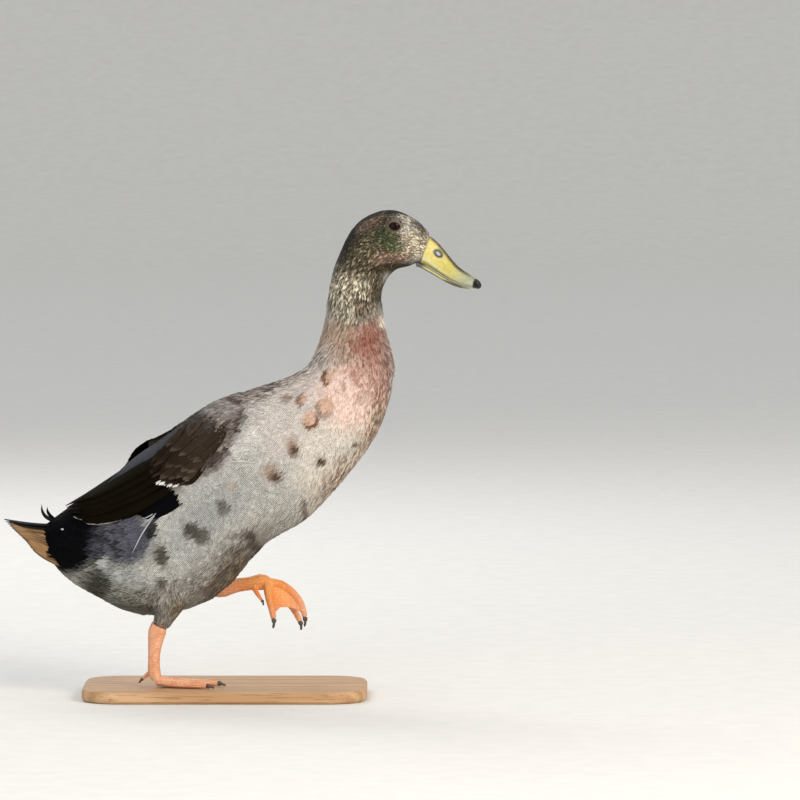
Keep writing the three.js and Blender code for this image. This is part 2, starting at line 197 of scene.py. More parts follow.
def oval(places: Array, middle: Pair, size: Pair, tilt: float) -> Array:
    """How far places are from the middle of a turned oval, in shares of its size.

    Args:
        places: rows of forward and up.
        middle: the oval's middle.
        size: half its length and half its width.
        tilt: how far its length is turned up from forward, in degrees.

    Returns:
        The distance of each place, 1 on the oval's edge.
    """
    turn = math.radians(tilt)
    dx, dz = places[:, 0] - middle[0], places[:, 1] - middle[1]
    length = (dx * math.cos(turn) + dz * math.sin(turn)) / size[0]
    width = (dz * math.cos(turn) - dx * math.sin(turn)) / size[1]
    return np.hypot(length, width)


def from_hocks(points: Array) -> Array:
    """How far each point is from the nearest bare hock, in shares of its size."""
    shares = [np.linalg.norm(points - np.array(at(*place)), axis=1) / (size * MM) for *place, size in HOCKS]
    return np.min(shares, axis=0)


def linked(name: str, data: bpy.types.ID) -> bpy.types.Object:
    """A new object, put into the scene."""
    made = bpy.data.objects.new(name, data)
    bpy.context.scene.collection.objects.link(made)
    return made


def piece(
    name: str, mesh: Mesh, finishes: list[Material],
    replaced: tuple[str, ...] = (), rounded: bool = True,
) -> None:
    """Makes a finished mesh a piece of the bird.

    Args:
        name: the piece's name.
        mesh: its mesh, in place.
        finishes: its materials.
        replaced: the CAD nodes that it stands for.
        rounded: whether its faces are shaded as one round surface.
    """
    made = linked(name, mesh)
    for finish in finishes:
        mesh.materials.append(finish)
    mesh.polygons.foreach_set("use_smooth", np.full(len(mesh.polygons), rounded))
    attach(made, "root")
    if replaced:
        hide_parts(*replaced)
    LOG.info("%s: %d faces", name, len(mesh.polygons))


def mesh_of(bm: BMesh, name: str) -> Mesh:
    """Writes a bmesh to a new mesh and frees it."""
    mesh = bpy.data.meshes.new(name)
    bm.to_mesh(mesh)
    bm.free()
    return mesh


def merged(node: str, grow: float = 0.0) -> BMesh:
    """A copy of a CAD node with its vertices merged, pushed out by grow metres."""
    bm = bmesh.new()
    bm.from_mesh(NODES[node].data)
    bmesh.ops.remove_doubles(bm, verts=bm.verts, dist=1e-6)
    bm.normal_update()
    for vertex in bm.verts:
        vertex.co += vertex.normal * grow
    return bm


def gathered(nodes: tuple[str, ...], grow: float = 0.0) -> BMesh:
    """Copies of several CAD nodes in one bmesh, pushed out by grow metres."""
    joined = bmesh.new()
    for node in nodes:
        part = mesh_of(merged(node, grow), node)
        joined.from_mesh(part)
        bpy.data.meshes.remove(part)
    return joined


def soften(bm: BMesh, rounds: int) -> None:
    """Smooths a bmesh several times."""
    for _ in range(rounds):
        bmesh.ops.smooth_vert(bm, verts=bm.verts, factor=0.5, use_axis_x=True, use_axis_y=True,
            use_axis_z=True)


def tube(around: int, steps: int, turn: float = 0.0) -> BMesh:
    """A closed tube of radius 1 along Z between -1 and 1.

    Args:
        around: how many corners its cross section has.
        steps: how many even steps it is cut into.
        turn: how far its corners are turned about Z, in radians.

    Returns:
        The new bmesh.
    """
    bm = bmesh.new()
    turned = Matrix.Rotation(turn, 4, "Z")
    bmesh.ops.create_cone(bm, cap_ends=True, segments=around, radius1=1.0, radius2=1.0, depth=2.0,
        matrix=turned)
    for step in range(1, steps):
        whole = bm.verts[:] + bm.edges[:] + bm.faces[:]
        bmesh.ops.bisect_plane(bm, geom=whole, plane_co=(0, 0, 2 * step / steps - 1), plane_no=(0, 0, 1))
    return bm


def fused(nodes: tuple[str, ...], voxel: float, grow: float, rounds: int) -> Mesh:
    """One smooth closed surface round several CAD nodes.

    Args:
        nodes: the nodes' names.
        voxel: the size of the new faces.
        grow: how far each node is pushed out first, which closes the cuts between them.
        rounds: how often the surface is smoothed.

    Returns:
        The new mesh, which stands grow metres out.
    """
    holder = linked("holder", mesh_of(gathered(nodes, grow), "holder"))
    remesh = holder.modifiers.new("Remesh", "REMESH")
    remesh.mode = "VOXEL"
    remesh.voxel_size = voxel
    evaluated = holder.evaluated_get(bpy.context.evaluated_depsgraph_get())
    bm = bmesh.new()
    bm.from_mesh(evaluated.to_mesh())
    evaluated.to_mesh_clear()
    bpy.data.objects.remove(holder)
    soften(bm, rounds)
    return mesh_of(bm, "fused")


# ---- the line of the body


@dataclass
class Chart:
    """Where points lie on the body: share of its length from tail to bill, and angle from the back."""

    share: Array
    angle: Array


@dataclass
class Spine:
    """The line through the middle of the body from the tail's root to the bill's.

    Attributes:
        parts: the CAD nodes that it runs through, from the tail on.
        knots: how many points it has.
        slab: half the length of body that each point is the middle of.
        reach: how far the body's surface may be from it.
        rounds: how often it is moved to the middle of the body.
        pull: how much of the way it is moved each time.
        voxel: the size of the faces that it is measured on.
    """

    parts: tuple[str, ...] = ("rump", "trunk", "breast", "neck", "head")
    knots: int = 48
    slab: float = 0.006
    reach: float = 0.09
    rounds: int = 12
    pull: float = 0.5
    voxel: float = 0.004
    line: Array = field(init=False, default_factory=lambda: np.zeros((2, 3)))

    def fit(self) -> None:
        """Runs the line through the middle of the CAD nodes, halfway between the back and the belly."""
        points = coords(fused(self.parts, self.voxel, BRIDGE, 1))
        tail, bill = (points[points[:, 0] * way > (points[:, 0] * way).max() - self.slab] for way in (-1,
            1))
        middles = [coords(NODES[name].data).mean(0) for name in self.parts]
        line = self._even(np.array([tail.mean(0), *middles, bill.mean(0)]) * (1, 0, 1))
        for _ in range(self.rounds):
            tangent = unit(np.gradient(line, axis=0))
            for i, (centre, along) in enumerate(zip(line, tangent)):
                offset = points - centre
                near = (np.abs(offset @ along) < self.slab) & (np.linalg.norm(offset, axis=1) < self.reach)
                up = np.array([-along[2], 0, along[0]])
                rise = offset[near] @ up
                if len(rise):
                    line[i] = centre + up * (rise.max() + rise.min()) / 2 * self.pull
            for _ in range(3):
                line[1:-1] = (line[:-2] + 2 * line[1:-1] + line[2:]) / 4
            line = self._even(line)
        self.line = line

    @property
    def length(self) -> float:
        """The line's length in metres."""
        return float(stops_of(self.line)[-1])

    def locate(self, points: Array) -> Chart:
        """Finds where points lie on the body."""
        starts, steps = self.line[:-1], np.diff(self.line, axis=0)
        stops, lengths = stops_of(self.line), np.linalg.norm(steps, axis=1)
        along = np.empty(len(points))
        for block in np.array_split(np.arange(len(points)), len(points) // 40000 + 1):
            offset = points[block, None] - starts
            share = np.clip((offset * steps).sum(2) / lengths**2, 0, 1)
            miss = np.linalg.norm(offset - share[..., None] * steps, axis=2)
            best = miss.argmin(1)
            row = np.arange(len(block))
            along[block] = stops[best] + share[row, best] * lengths[best]
        heading = self.heading(along)
        away = points - self.middle(along)
        up = np.column_stack([-heading[:, 2], np.zeros(len(points)), heading[:, 0]])
        rise = (away * up).sum(1)
        return Chart(along / stops[-1], np.arctan2(away[:, 1], rise))

    def middle(self, along: Array) -> Array:
        """The line's points at distances along it."""
        return read_off(along, stops_of(self.line), self.line)

    def heading(self, along: Array) -> Array:
        """The line's direction, towards the bill, at distances along it."""
        return unit(read_off(along, stops_of(self.line), unit(np.gradient(self.line, axis=0))))

    def _even(self, line: Array) -> Array:
        """The same line with its knots evenly spaced."""
        stops = stops_of(line)
        return read_off(np.linspace(0, stops[-1], self.knots), stops, line)


# ---- skin


@dataclass
class Surface:
    """A shape that feathers lie on.

    Attributes:
        mesh: its mesh of quads or triangles.
        aside: how far to the side a search for its surface starts, in mm.
        middle: the same where the search runs past its outline, which ends on its back or belly.
    """

    mesh: Mesh
    aside: float = 300
    middle: float = 6
    tree: BVHTree = field(init=False, default=None)
    normals: Array = field(init=False, default=None)

    def __post_init__(self) -> None:
        """Readies the shape for the search of its nearest points."""
        corners = [tuple(polygon.vertices) for polygon in self.mesh.polygons]
        self.tree = BVHTree.FromPolygons(coords(self.mesh).tolist(), corners)
        round_corner = coords(self.mesh, normals=True)
        self.normals = unit(np.array([round_corner[list(face)].mean(0) for face in corners]))

    def nearest(self, points: Array) -> tuple[Array, Array]:
        """The nearest places on the shape to points, and its normals there."""
        flat = points.reshape(-1, 3)
        places = np.empty((len(flat), 3))
        faces = np.empty(len(flat), np.int64)
        find = self.tree.find_nearest
        for i, point in enumerate(flat.tolist()):
            hit = find(point)
            places[i] = hit[0]
            faces[i] = hit[2]
        return places.reshape(points.shape), self.normals[faces].reshape(points.shape)

    def distance(self, points: Array) -> Array:
        """How far points are from the shape."""
        places, _ = self.nearest(points)
        return np.linalg.norm(places - points, axis=-1)

    def beside(self, forward: float, up: float, side: Side) -> Vector:
        """The place at a forward and up in mm, seen square from one side."""
        struck = self.tree.ray_cast(at(forward, up, self.aside * side.value), Vector((0, -side.value,
            0)))[0]
        return struck or self.tree.find_nearest(at(forward, up, self.middle * side.value))[0]


@dataclass
class Skin:
    """One skin over the body, head and legs, which the coat covers down to the hocks.

    Attributes:
        voxel: the size of its faces on the body.
        rounds: how often it is smoothed.
        depths: how deep the coat is, in mm, at shares of the body's length.
        hock_depth: the share of that depth that is left at the hocks.
        hock_fade: the height over which the coat thins out to the hocks.
        thigh_shape: how much a place's distance from a hock counts forward, sideways and up.
        thigh_reach: from where to where off the hocks the feathers turn from down to back.
        thigh_lie: the way that they point at the hocks.
        droop: how much the feathers behind the neck hang down.
        droop_over: between which shares of the body's length they stop to.
    """

    voxel: float = 0.0018
    rounds: int = 6
    depths: tuple[Pair, ...] = (
        (0.0, 1.6), (0.1, 2.6), (0.5, 2.8), (0.64, 2.4), (0.74, 1.7), (0.86, 1.1), (0.93, 0.8), (1.0, 0.4),
    )
    hock_depth: float = 0.3
    hock_fade: float = 0.022
    thigh_shape: Triple = (1, 0.8, 0.6)
    thigh_reach: Pair = (0.018, 0.04)
    thigh_lie: Triple = (-0.1, 0, -1.0)
    droop: float = 0.12
    droop_over: Pair = (0.6, 0.75)
    spine: Spine = field(default_factory=Spine)
    outer: Surface = field(init=False, default=None)
    winged: Surface = field(init=False, default=None)
    mesh: Mesh = field(init=False, default=None)

    def nodes(self, *kinds: str) -> tuple[str, ...]:
        """The CAD nodes of the body, with both sides' nodes of the given kinds."""
        return (*self.spine.parts, *(f"{kind}_{side.word}" for kind in kinds for side in Side))

    def build(self) -> None:
        """Fits the spine, and makes the coat's surface, the wings' and the skin under the coat."""
        self.spine.fit()
        self.outer = self.shell((*self.nodes("wing", "flank", "thigh"), "tail"))
        self.winged = self.shell(self.nodes("wing", "wing_tip", "flank"))
        mesh = fused(self.nodes("wing", "flank", "thigh"), self.voxel, BRIDGE, self.rounds)
        self.mesh = sunk(mesh, (BRIDGE + self.depth(coords(mesh)))[:, None])

    def shell(self, nodes: tuple[str, ...]) -> Surface:
        """The outline of some CAD nodes as one surface."""
        return Surface(sunk(fused(nodes, self.voxel, BRIDGE, self.rounds), BRIDGE))

    def depth(self, points: Array) -> Array:
        """The coat's depth at points on the body."""
        shares, depths = zip(*self.depths)
        depth = np.interp(self.spine.locate(points).share, shares, depths) * MM
        for side in Side:
            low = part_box(f"thigh_{side.word}")[0].z
            near = (points[:, 1] * side.value > 0) & (points[:, 2] < low + self.hock_fade)
            left = self.hock_depth + (1 - self.hock_depth) * smooth(points[:, 2], low, low + self.hock_fade)
            depth = np.where(near, depth * left, depth)
        return depth

    def lie(self, points: Array, normals: Array) -> Array:
        """The way that feathers point at places on the body: back along it, and down on the thighs."""
        chart = self.spine.locate(points)
        back = -self.spine.heading(chart.share * self.spine.length)
        for side in Side:
            low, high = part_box(f"thigh_{side.word}")
            centre = np.array([(low.x + high.x) / 2, (low.y + high.y) / 2, low.z])
            away = np.linalg.norm((points - centre) * self.thigh_shape, axis=1)
            down = (1 - smooth(away, *self.thigh_reach))[:, None]
            back = back * (1 - down) + np.array(self.thigh_lie) * down
        back = back + np.array([0, 0, -self.droop]) * (1 - smooth(chart.share, *self.droop_over))[:, None]
        return unit(back - normals * (back * normals).sum(1)[:, None])


# ---- colours of the plumage


@dataclass(frozen=True)
class Tint:
    """How the feathers of a zone are coloured.

    Attributes:
        base: the colour of their middle.
        edge: the colour of their rim.
        mottle: how much brighter or darker one feather is than the next, from 0 to 1.
        bars: how strong their fine cross lines are, from 0 to 1.
        flecks: the share of feathers that have the rim's colour all over.
    """

    base: int
    edge: int
    mottle: float = 0.12
    bars: float = 0.0
    flecks: float = 0.0

    def row(self) -> Array:
        """The tint as nine numbers: base, edge, mottle, bars, flecks."""
        return np.array([*linear(self.base), *linear(self.edge), self.mottle, self.bars, self.flecks])


@dataclass(frozen=True)
class Zone:
    """A soft-edged oval of one tint, the same on both sides of the bird.

    Attributes:
        tint: its colours.
        forward: where its middle is, in mm.
        up: the same over the base.
        along: half its length, in mm.
        across: half its width.
        tilt: how far its length is turned up from forward, in degrees.
        soft: the share of its size over which it fades.
        rough: how ragged its edge is.
        strength: how far it covers what is under it.
        grain: the size of the flecks that it is broken up to, or 0 where it is whole.
    """

    tint: Tint
    forward: float
    up: float
    along: float
    across: float
    tilt: float = 0.0
    soft: float = 0.35
    rough: float = 0.3
    strength: float = 1.0
    grain: float = 0.0

    def cover(self, places: Array, ragged: Array) -> Array:
        """How much the zone covers each place, given in mm forward and up."""
        away = oval(places, (self.forward, self.up), (self.along, self.across), self.tilt)
        away = away + self.rough * (ragged - 0.5)
        return self.strength * (1 - smooth(away, 1 - self.soft, 1 + self.soft))


FLANK = Tint(0xC8C6BE, 0xDAD8D1, 0.08, 0.8)
FLANK_GREY = Tint(0x989D9D, 0xB0B5B4, 0.1, 0.75)
FLANK_WHITE = Tint(0xE2DFDA, 0xEEEBE6, 0.1)
SHOULDER = Tint(0xD4CBC2, 0xE4DCD5, 0.1, 0.55)
BREAST_LOW = Tint(0xD3CCC0, 0xE4DED2, 0.14, 0.4)
BREAST_FRONT = Tint(0xB29C84, 0xD2BCA4, 0.4)
BREAST_FLECK = Tint(0x6E4C3A, 0x8A6650, 0.3)
RUST = Tint(0x85584A, 0xA67A6A, 0.25)
RUST_MID = Tint(0xA67E70, 0xC6A596, 0.22)
RUST_PALE = Tint(0xD4B6A8, 0xEAD6CA, 0.2)
RUST_FLECK = Tint(0x824C3E, 0x96604E, 0.3)
PURPLE = Tint(0x57404A, 0x7C6068, 0.3)
NECK_BASE = Tint(0xA08873, 0xC4AF9A, 0.3)
NECK = Tint(0x5A5040, 0xC4BCA6, 0.6, 0.0, 0.36)
NECK_DARK = Tint(0x120C08, 0x8A7A68, 0.5, 0.0, 0.3)
# the pale collar at the front edge of the neck, partly a painted highlight rim where the light catches that
# edge
PALE_COLLAR_AND_HIGHLIGHT = Tint(0xD8CEB8, 0xF0E8DA, 0.3)
HEAD = Tint(0x2B2618, 0x857A60, 0.6, 0.0, 0.25)
CROWN = Tint(0x0C0B07, 0x544C3E, 0.5, 0.0, 0.18)
CROWN_LINE = Tint(0x0B0B08, 0x26241B, 0.4, 0.0, 0.15)
CHEEK_GREEN = Tint(0x263A1E, 0x646C44, 0.5, 0.0, 0.2)
CHEEK_PINK = Tint(0x60483A, 0xA8917E, 0.4, 0.0, 0.28)
LORE = Tint(0x6E6250, 0xC4BAA5, 0.4, 0.0, 0.42)
FACE_GREY = Tint(0x6C675E, 0xC6C0B4, 0.4, 0.0, 0.45)
EYE_RING = Tint(0x6A5E4C, 0xB0A48C, 0.3, 0.0, 0.5)
THROAT = Tint(0x231A0F, 0x5A4E38, 0.4, 0.0, 0.2)
# painted shade: dark lines under the chin and down the front of the neck
THROAT_SHADE_LINE = Tint(0x0F0B07, 0x2A2218, 0.4)
EYE_DARK = Tint(0x1C2216, 0x58583E, 0.4, 0.0, 0.2)
BACK = Tint(0xB8ACA2, 0xD6CABE, 0.3)
BACK_DARK = Tint(0x33251F, 0x54443D, 0.4)
SPOT = Tint(0x48352A, 0x6A5342, 0.15)
SPOT_BUFF = Tint(0x8A705A, 0xAE9680, 0.15)
SPOT_GREY = Tint(0x3C372E, 0x5E594F, 0.15, 0.2)
CRESCENT = Tint(0xC6A48C, 0xD8BAA4, 0.1)
CRESCENT_DARK = Tint(0x6C4C38, 0x84624A, 0.2)
BELLY = Tint(0x3E321F, 0x8A7A60, 0.45, 0.2, 0.25)
# the dark brown of the belly's flecks, also used as painted shade: the shadow line along the fold under the
# flank
BELLY_DARK_AND_FOLD_SHADE = Tint(0x2A2012, 0x453826, 0.3)
UNDER_FLANK = Tint(0x7E7A73, 0xB6B3AB, 0.35, 0.5, 0.2)
VENT = Tint(0x56544A, 0xA2A298, 0.45, 0.2, 0.25)
VENT_WHITE = Tint(0xA8AAA6, 0xC6C8C4, 0.15)
VENT_DARK = Tint(0x28281F, 0x48483E, 0.3)
RUMP = Tint(0x050507, 0x0B0B0D, 0.2)
# painted sheen: the dark rear flank's purple-grey shine, put into its colour as a lighter grey
PAINTED_SHEEN_GREY = Tint(0x40414A, 0x5A5A64, 0.3)
THIGH = Tint(0x68625A, 0x989288, 0.35, 0.1, 0.2)
WING_BED = Tint(0x2C2620, 0x3C362F, 0.2)
COVERT_BROWN = Tint(0x2A211A, 0x3C322A, 0.3, 0.0, 0.06)
SCAPULAR = Tint(0x5C514A, 0x847972, 0.3, 0.0, 0.2)
SCAPULAR_PALE = Tint(0x857B77, 0xA59C98, 0.25, 0.0, 0.3)
SCAPULAR_DARK = Tint(0x2B211B, 0x4A3E37, 0.3, 0.0, 0.1)


# the values of each zone in turn, from the widest zones to the smallest marks
MARKS = (
    # breast and shoulders
    (SHOULDER, 66, 238, 46, 34, 30),
    (FLANK_GREY, -16, 148, 40, 18, 42, 0.8, 0.5, 0.65),
    (FLANK_WHITE, 14, 212, 17, 9, 25, 0.6, 0.5, 0.45),
    (BREAST_LOW, 96, 205, 30, 50, -32),
    (RUST_PALE, 112, 256, 34, 34, 0, 0.4),
    (NECK_BASE, 98, 300, 24, 22, 20, 0.4),
    (RUST_MID, 130, 288, 15, 28, -4, 0.9, 0.5),
    (RUST, 127, 303, 12, 15, -6, 0.9, 0.6),
    (RUST_MID, 139, 268, 8, 24, 0, 0.7, 0.4, 0.7),
    (RUST_FLECK, 121, 286, 24, 34, 0, 0.5, 0.4, 0.65, 0.0022),
    (PURPLE, 141, 280, 4, 18, 6, 0.6, 0.5, 0.8, 0.004),
    (BREAST_FRONT, 132, 222, 10, 26, -28, 0.7, 0.5, 0.8),
    (BREAST_FRONT, 104, 176, 16, 26, -50, 0.7, 0.5, 0.6),
    (BREAST_FLECK, 136, 242, 50, 10, 76, 0.5, 0.4, 0.8, 0.0024),
    (BREAST_FLECK, 102, 180, 36, 12, 50, 0.5, 0.4, 0.8, 0.0024),
    # belly, vent and thighs
    (UNDER_FLANK, 2, 100, 60, 22, 38, 0.5),
    (UNDER_FLANK, -38, 78, 34, 16, 10, 0.5),
    (BELLY, 24, 108, 44, 19, 44, 0.3, 0.45),
    (BELLY, 4, 86, 26, 20, 36, 0.3, 0.3),
    # painted shade: a thin dark shadow line along the fold where the flank overhangs the belly
    (BELLY_DARK_AND_FOLD_SHADE, 34, 135, 26, 3.4, 10, 0.6, 0.4, 0.9),
    (BELLY_DARK_AND_FOLD_SHADE, 10, 96, 46, 20, 44, 0.4, 0.4, 0.7, 0.005),
    (BELLY, -24, 60, 60, 9, 8, 0.4),
    (THIGH, -50, 64, 24, 18, 0, 0.5),
    (BELLY, -36, 66, 12, 12, 0, 0.5, 0.4, 0.8),
    # rump, back and the bed of the wings
    (WING_BED, -70, 196, 72, 40, 38, 0.25, 0.15),
    (COVERT_BROWN, -44, 206, 46, 26, 34, 0.2, 0.3),
    (SCAPULAR, -6, 222, 42, 16, 66, 0.3, 0.5),
    (SCAPULAR_DARK, -2, 226, 34, 16, 66, 0.4, 0.4, 0.9, 0.005),
    (SCAPULAR_DARK, -17, 225, 8, 9, 0, 0.5, 0.5, 0.8),
    (SCAPULAR_DARK, -20, 199, 11, 16, 70, 0.5, 0.5, 0.9),
    (SCAPULAR_PALE, 3, 245, 14, 8, 40, 0.6, 0.6, 1.0),
    (BACK, 46, 272, 52, 16, 20, 0.4),
    (BACK_DARK, 20, 260, 24, 9, 24, 0.5, 0.5, 0.55),
    (BACK_DARK, 26, 260, 34, 10, 24, 0.4, 0.5, 0.85, 0.0028),
    (BACK_DARK, 62, 276, 34, 6, 22, 0.5, 0.5, 0.6, 0.0024),
    (RUMP, -137, 128, 38, 31, 0, 0.2, 0.15),
    (RUMP, -162, 145, 30, 9, 3, 0.15, 0.1),
    (RUMP, -121, 155, 26, 15, 38, 0.3, 0.2),
    # painted sheen on the smooth dark feathers of the rear flank
    (PAINTED_SHEEN_GREY, -90, 127, 29, 24, 25, 0.35, 0.3),
    (RUMP, -106, 128, 18, 28, 15, 0.6, 0.5, 0.7, 0.004),
    (VENT, -98, 84, 34, 24, -20, 0.3),
    (VENT_WHITE, -86, 94, 24, 9, -12, 0.6, 0.4, 0.6),
    (VENT_WHITE, -108, 106, 4, 7.5, 15, 0.4, 0.4, 0.9),
    (VENT_DARK, -112, 88, 12, 14, -30, 0.5, 0.5, 0.9),
    (VENT_DARK, -84, 66, 34, 7, -14, 0.6, 0.5, 0.6),
    # neck
    (NECK, 112, 352, 30, 36, 0, 0.2),
    (THROAT, 134, 350, 6, 22, 0, 0.6, 0.5, 0.85),
    (NECK_DARK, 121, 330, 6.5, 9.5, 0, 0.5, 0.6),
    (NECK_DARK, 112, 372, 22, 22, 0, 0.4, 0.4, 0.5, 0.003),
    # pale collar with a painted highlight rim on the neck's front edge
    (PALE_COLLAR_AND_HIGHLIGHT, 139.5, 318, 3.5, 5, 0, 0.5, 0.4),
    # head
    (HEAD, 136, 392, 44, 30, 25, 0.18, 0.2),
    (CROWN, 132, 412, 34, 10, 14, 0.5, 0.4),
    (CROWN, 108, 392, 10, 26, -25, 0.6, 0.4),
    (CHEEK_PINK, 148, 376, 18, 7, 8, 0.5, 0.5, 0.8),
    (CHEEK_PINK, 126, 405, 13, 5, 32, 0.6, 0.6, 0.4),
    (LORE, 149, 412, 12, 2.4, -4, 0.6, 0.5, 0.25),
    (CHEEK_GREEN, 151, 386, 10, 5.5, 10, 0.6, 0.6, 0.8),
    (CHEEK_GREEN, 142, 394, 10, 5, 30, 0.6, 0.6, 0.6),
    (FACE_GREY, 160, 404, 12, 10, -30, 0.5, 0.4),
    (CROWN, 171, 403, 9, 4.5, -50, 0.6, 0.5, 0.7),
    (LORE, 166, 388, 12, 12, 30, 0.5, 0.4),
    (EYE_DARK, 137, 398, 9, 4.5, 20, 0.5, 0.4),
    (EYE_RING, 149.2, 404.6, 8.4, 6.6, -8, 0.35, 0.5, 0.55),
    (THROAT, 148, 367, 26, 4.5, 6, 0.5, 0.4),
    # painted shade under the chin and down the front of the neck
    (THROAT_SHADE_LINE, 147, 358, 13, 3, 46, 0.5, 0.4, 0.9),
    (THROAT_SHADE_LINE, 139.5, 342, 10, 3, 80, 0.5, 0.5, 0.8),
    (CROWN_LINE, 107, 393, 15, 4.4, 65, 0.5, 0.4),
    (CROWN_LINE, 126, 415, 22, 4.8, 26, 0.5, 0.4),
    (CROWN_LINE, 154, 417, 12, 2, -14, 0.6, 0.5, 0.7),
    # dark spots and crescents
    (RUMP, -65, 137, 4.6, 11, -14, 0.3, 0.3, 0.95),
    (SPOT_GREY, -50.6, 154, 4.5, 8, 0, 0.4, 0.3),
    (SPOT_GREY, -56.5, 113, 6.5, 10, 10, 0.4, 0.4),
    (SPOT_GREY, -57, 89, 5.5, 5, 0, 0.5, 0.4, 0.9),
    (SPOT_GREY, -29, 136, 7, 7, 0, 0.4, 0.5),
    (SPOT_GREY, -20, 130, 8, 7, 40, 0.5, 0.5, 0.9),
    (SPOT_GREY, -2, 155.5, 6, 7.5, 20, 0.5, 0.4, 0.85),
    (SPOT_BUFF, 6, 174, 5, 5, 0, 0.6, 0.4, 0.5),
    (SPOT_BUFF, 39.5, 186.5, 8.5, 7.5, -20, 0.5, 0.3, 0.8),
    (SPOT, 44, 182, 5.8, 4.6, -30, 0.6, 0.3),
    (SPOT_BUFF, 58.5, 209.5, 6, 8, 15, 0.5, 0.3, 0.8),
    (SPOT, 60.5, 205, 4, 5.6, 15, 0.6, 0.3),
    (SPOT, 84, 195, 4.4, 4.2, 0, 0.6, 0.4),
    (SPOT, 69.5, 163.5, 3.4, 2.4, 20, 0.5, 0.4, 0.8),
    (SPOT, 81.5, 157, 2.6, 2.6, 0, 0.5, 0.4, 0.9),
    (SPOT, 114, 210, 2.6, 2.2, 0, 0.5, 0.4, 0.9),
    (CRESCENT_DARK, 75, 230.5, 7.5, 7.5, 0, 0.2, 0.2),
    (CRESCENT, 73.2, 233.5, 5.8, 6, 0, 0.25, 0.2),
    (CRESCENT_DARK, 86.5, 242, 8, 9.5, 0, 0.2, 0.2, 0.75),
    (CRESCENT, 89, 245, 6.6, 8, 0, 0.25, 0.2, 0.95),
    (CRESCENT_DARK, 66, 250, 4.2, 6.4, -20, 0.3, 0.2, 0.9),
    (CRESCENT, 68.5, 251.5, 3, 5, -20, 0.3, 0.2, 0.8),
    (CRESCENT_DARK, 88.5, 269, 5, 7.4, 0, 0.2, 0.15),
    (CRESCENT, 91.5, 270, 3.8, 6, 0, 0.2, 0.15, 0.95),
    (CRESCENT_DARK, 53, 252, 5, 4, 20, 0.4, 0.3, 0.7),
)


@dataclass(frozen=True)
class Plumage:
    """Where each tint lies on the body, painted in order from the widest zones to the smallest marks.

    Attributes:
        ground: the tint under all zones.
        zones: ovals, each laid over those before it.
        ragged_size: how large the ragged parts of the zones' edges are.
        rise: how much higher the marks of the sides sit, per millimetre from the middle line.
        arch: how far the marks of the underside drop along its middle line, in mm.
        arch_half: how far to each side they do so.
        arch_behind: where they begin to, from the rear.
        arch_over: the height at which it stops.
    """

    ground: Tint = FLANK
    zones: tuple[Zone, ...] = tuple(Zone(*mark) for mark in MARKS)
    ragged_size: float = 0.006
    rise: float = 0.06
    arch: float = 18.0
    arch_half: float = 48.0
    arch_behind: Pair = (-60, -20)
    arch_over: Pair = (150, 190)

    def at(self, points: Array, seed: int = 1) -> Array:
        """The tint, as the numbers of Tint.row, at each point of the bird."""
        side = from_side(points)
        side[:, 1] -= self.rise * np.abs(points[:, 1] / MM)
        belly = smooth(side[:, 0], *self.arch_behind) * (1 - smooth(side[:, 1], *self.arch_over))
        side[:, 1] += self.arch * belly * np.clip(1 - (points[:, 1] / MM / self.arch_half) ** 2, 0, 1)
        ragged = drift(points, self.ragged_size, seed) * 0.6 + drift(points, self.ragged_size / 3, seed
            + 1) * 0.4
        rows = np.tile(self.ground.row(), (len(points), 1))
        for zone in self.zones:
            cover = zone.cover(side, ragged)[:, None]
            if zone.grain:
                cover *= smooth(drift(points, zone.grain, seed + 2), 0.52, 0.6)[:, None]
            rows = rows * (1 - cover) + zone.tint.row() * cover
        return rows


# ---- materials


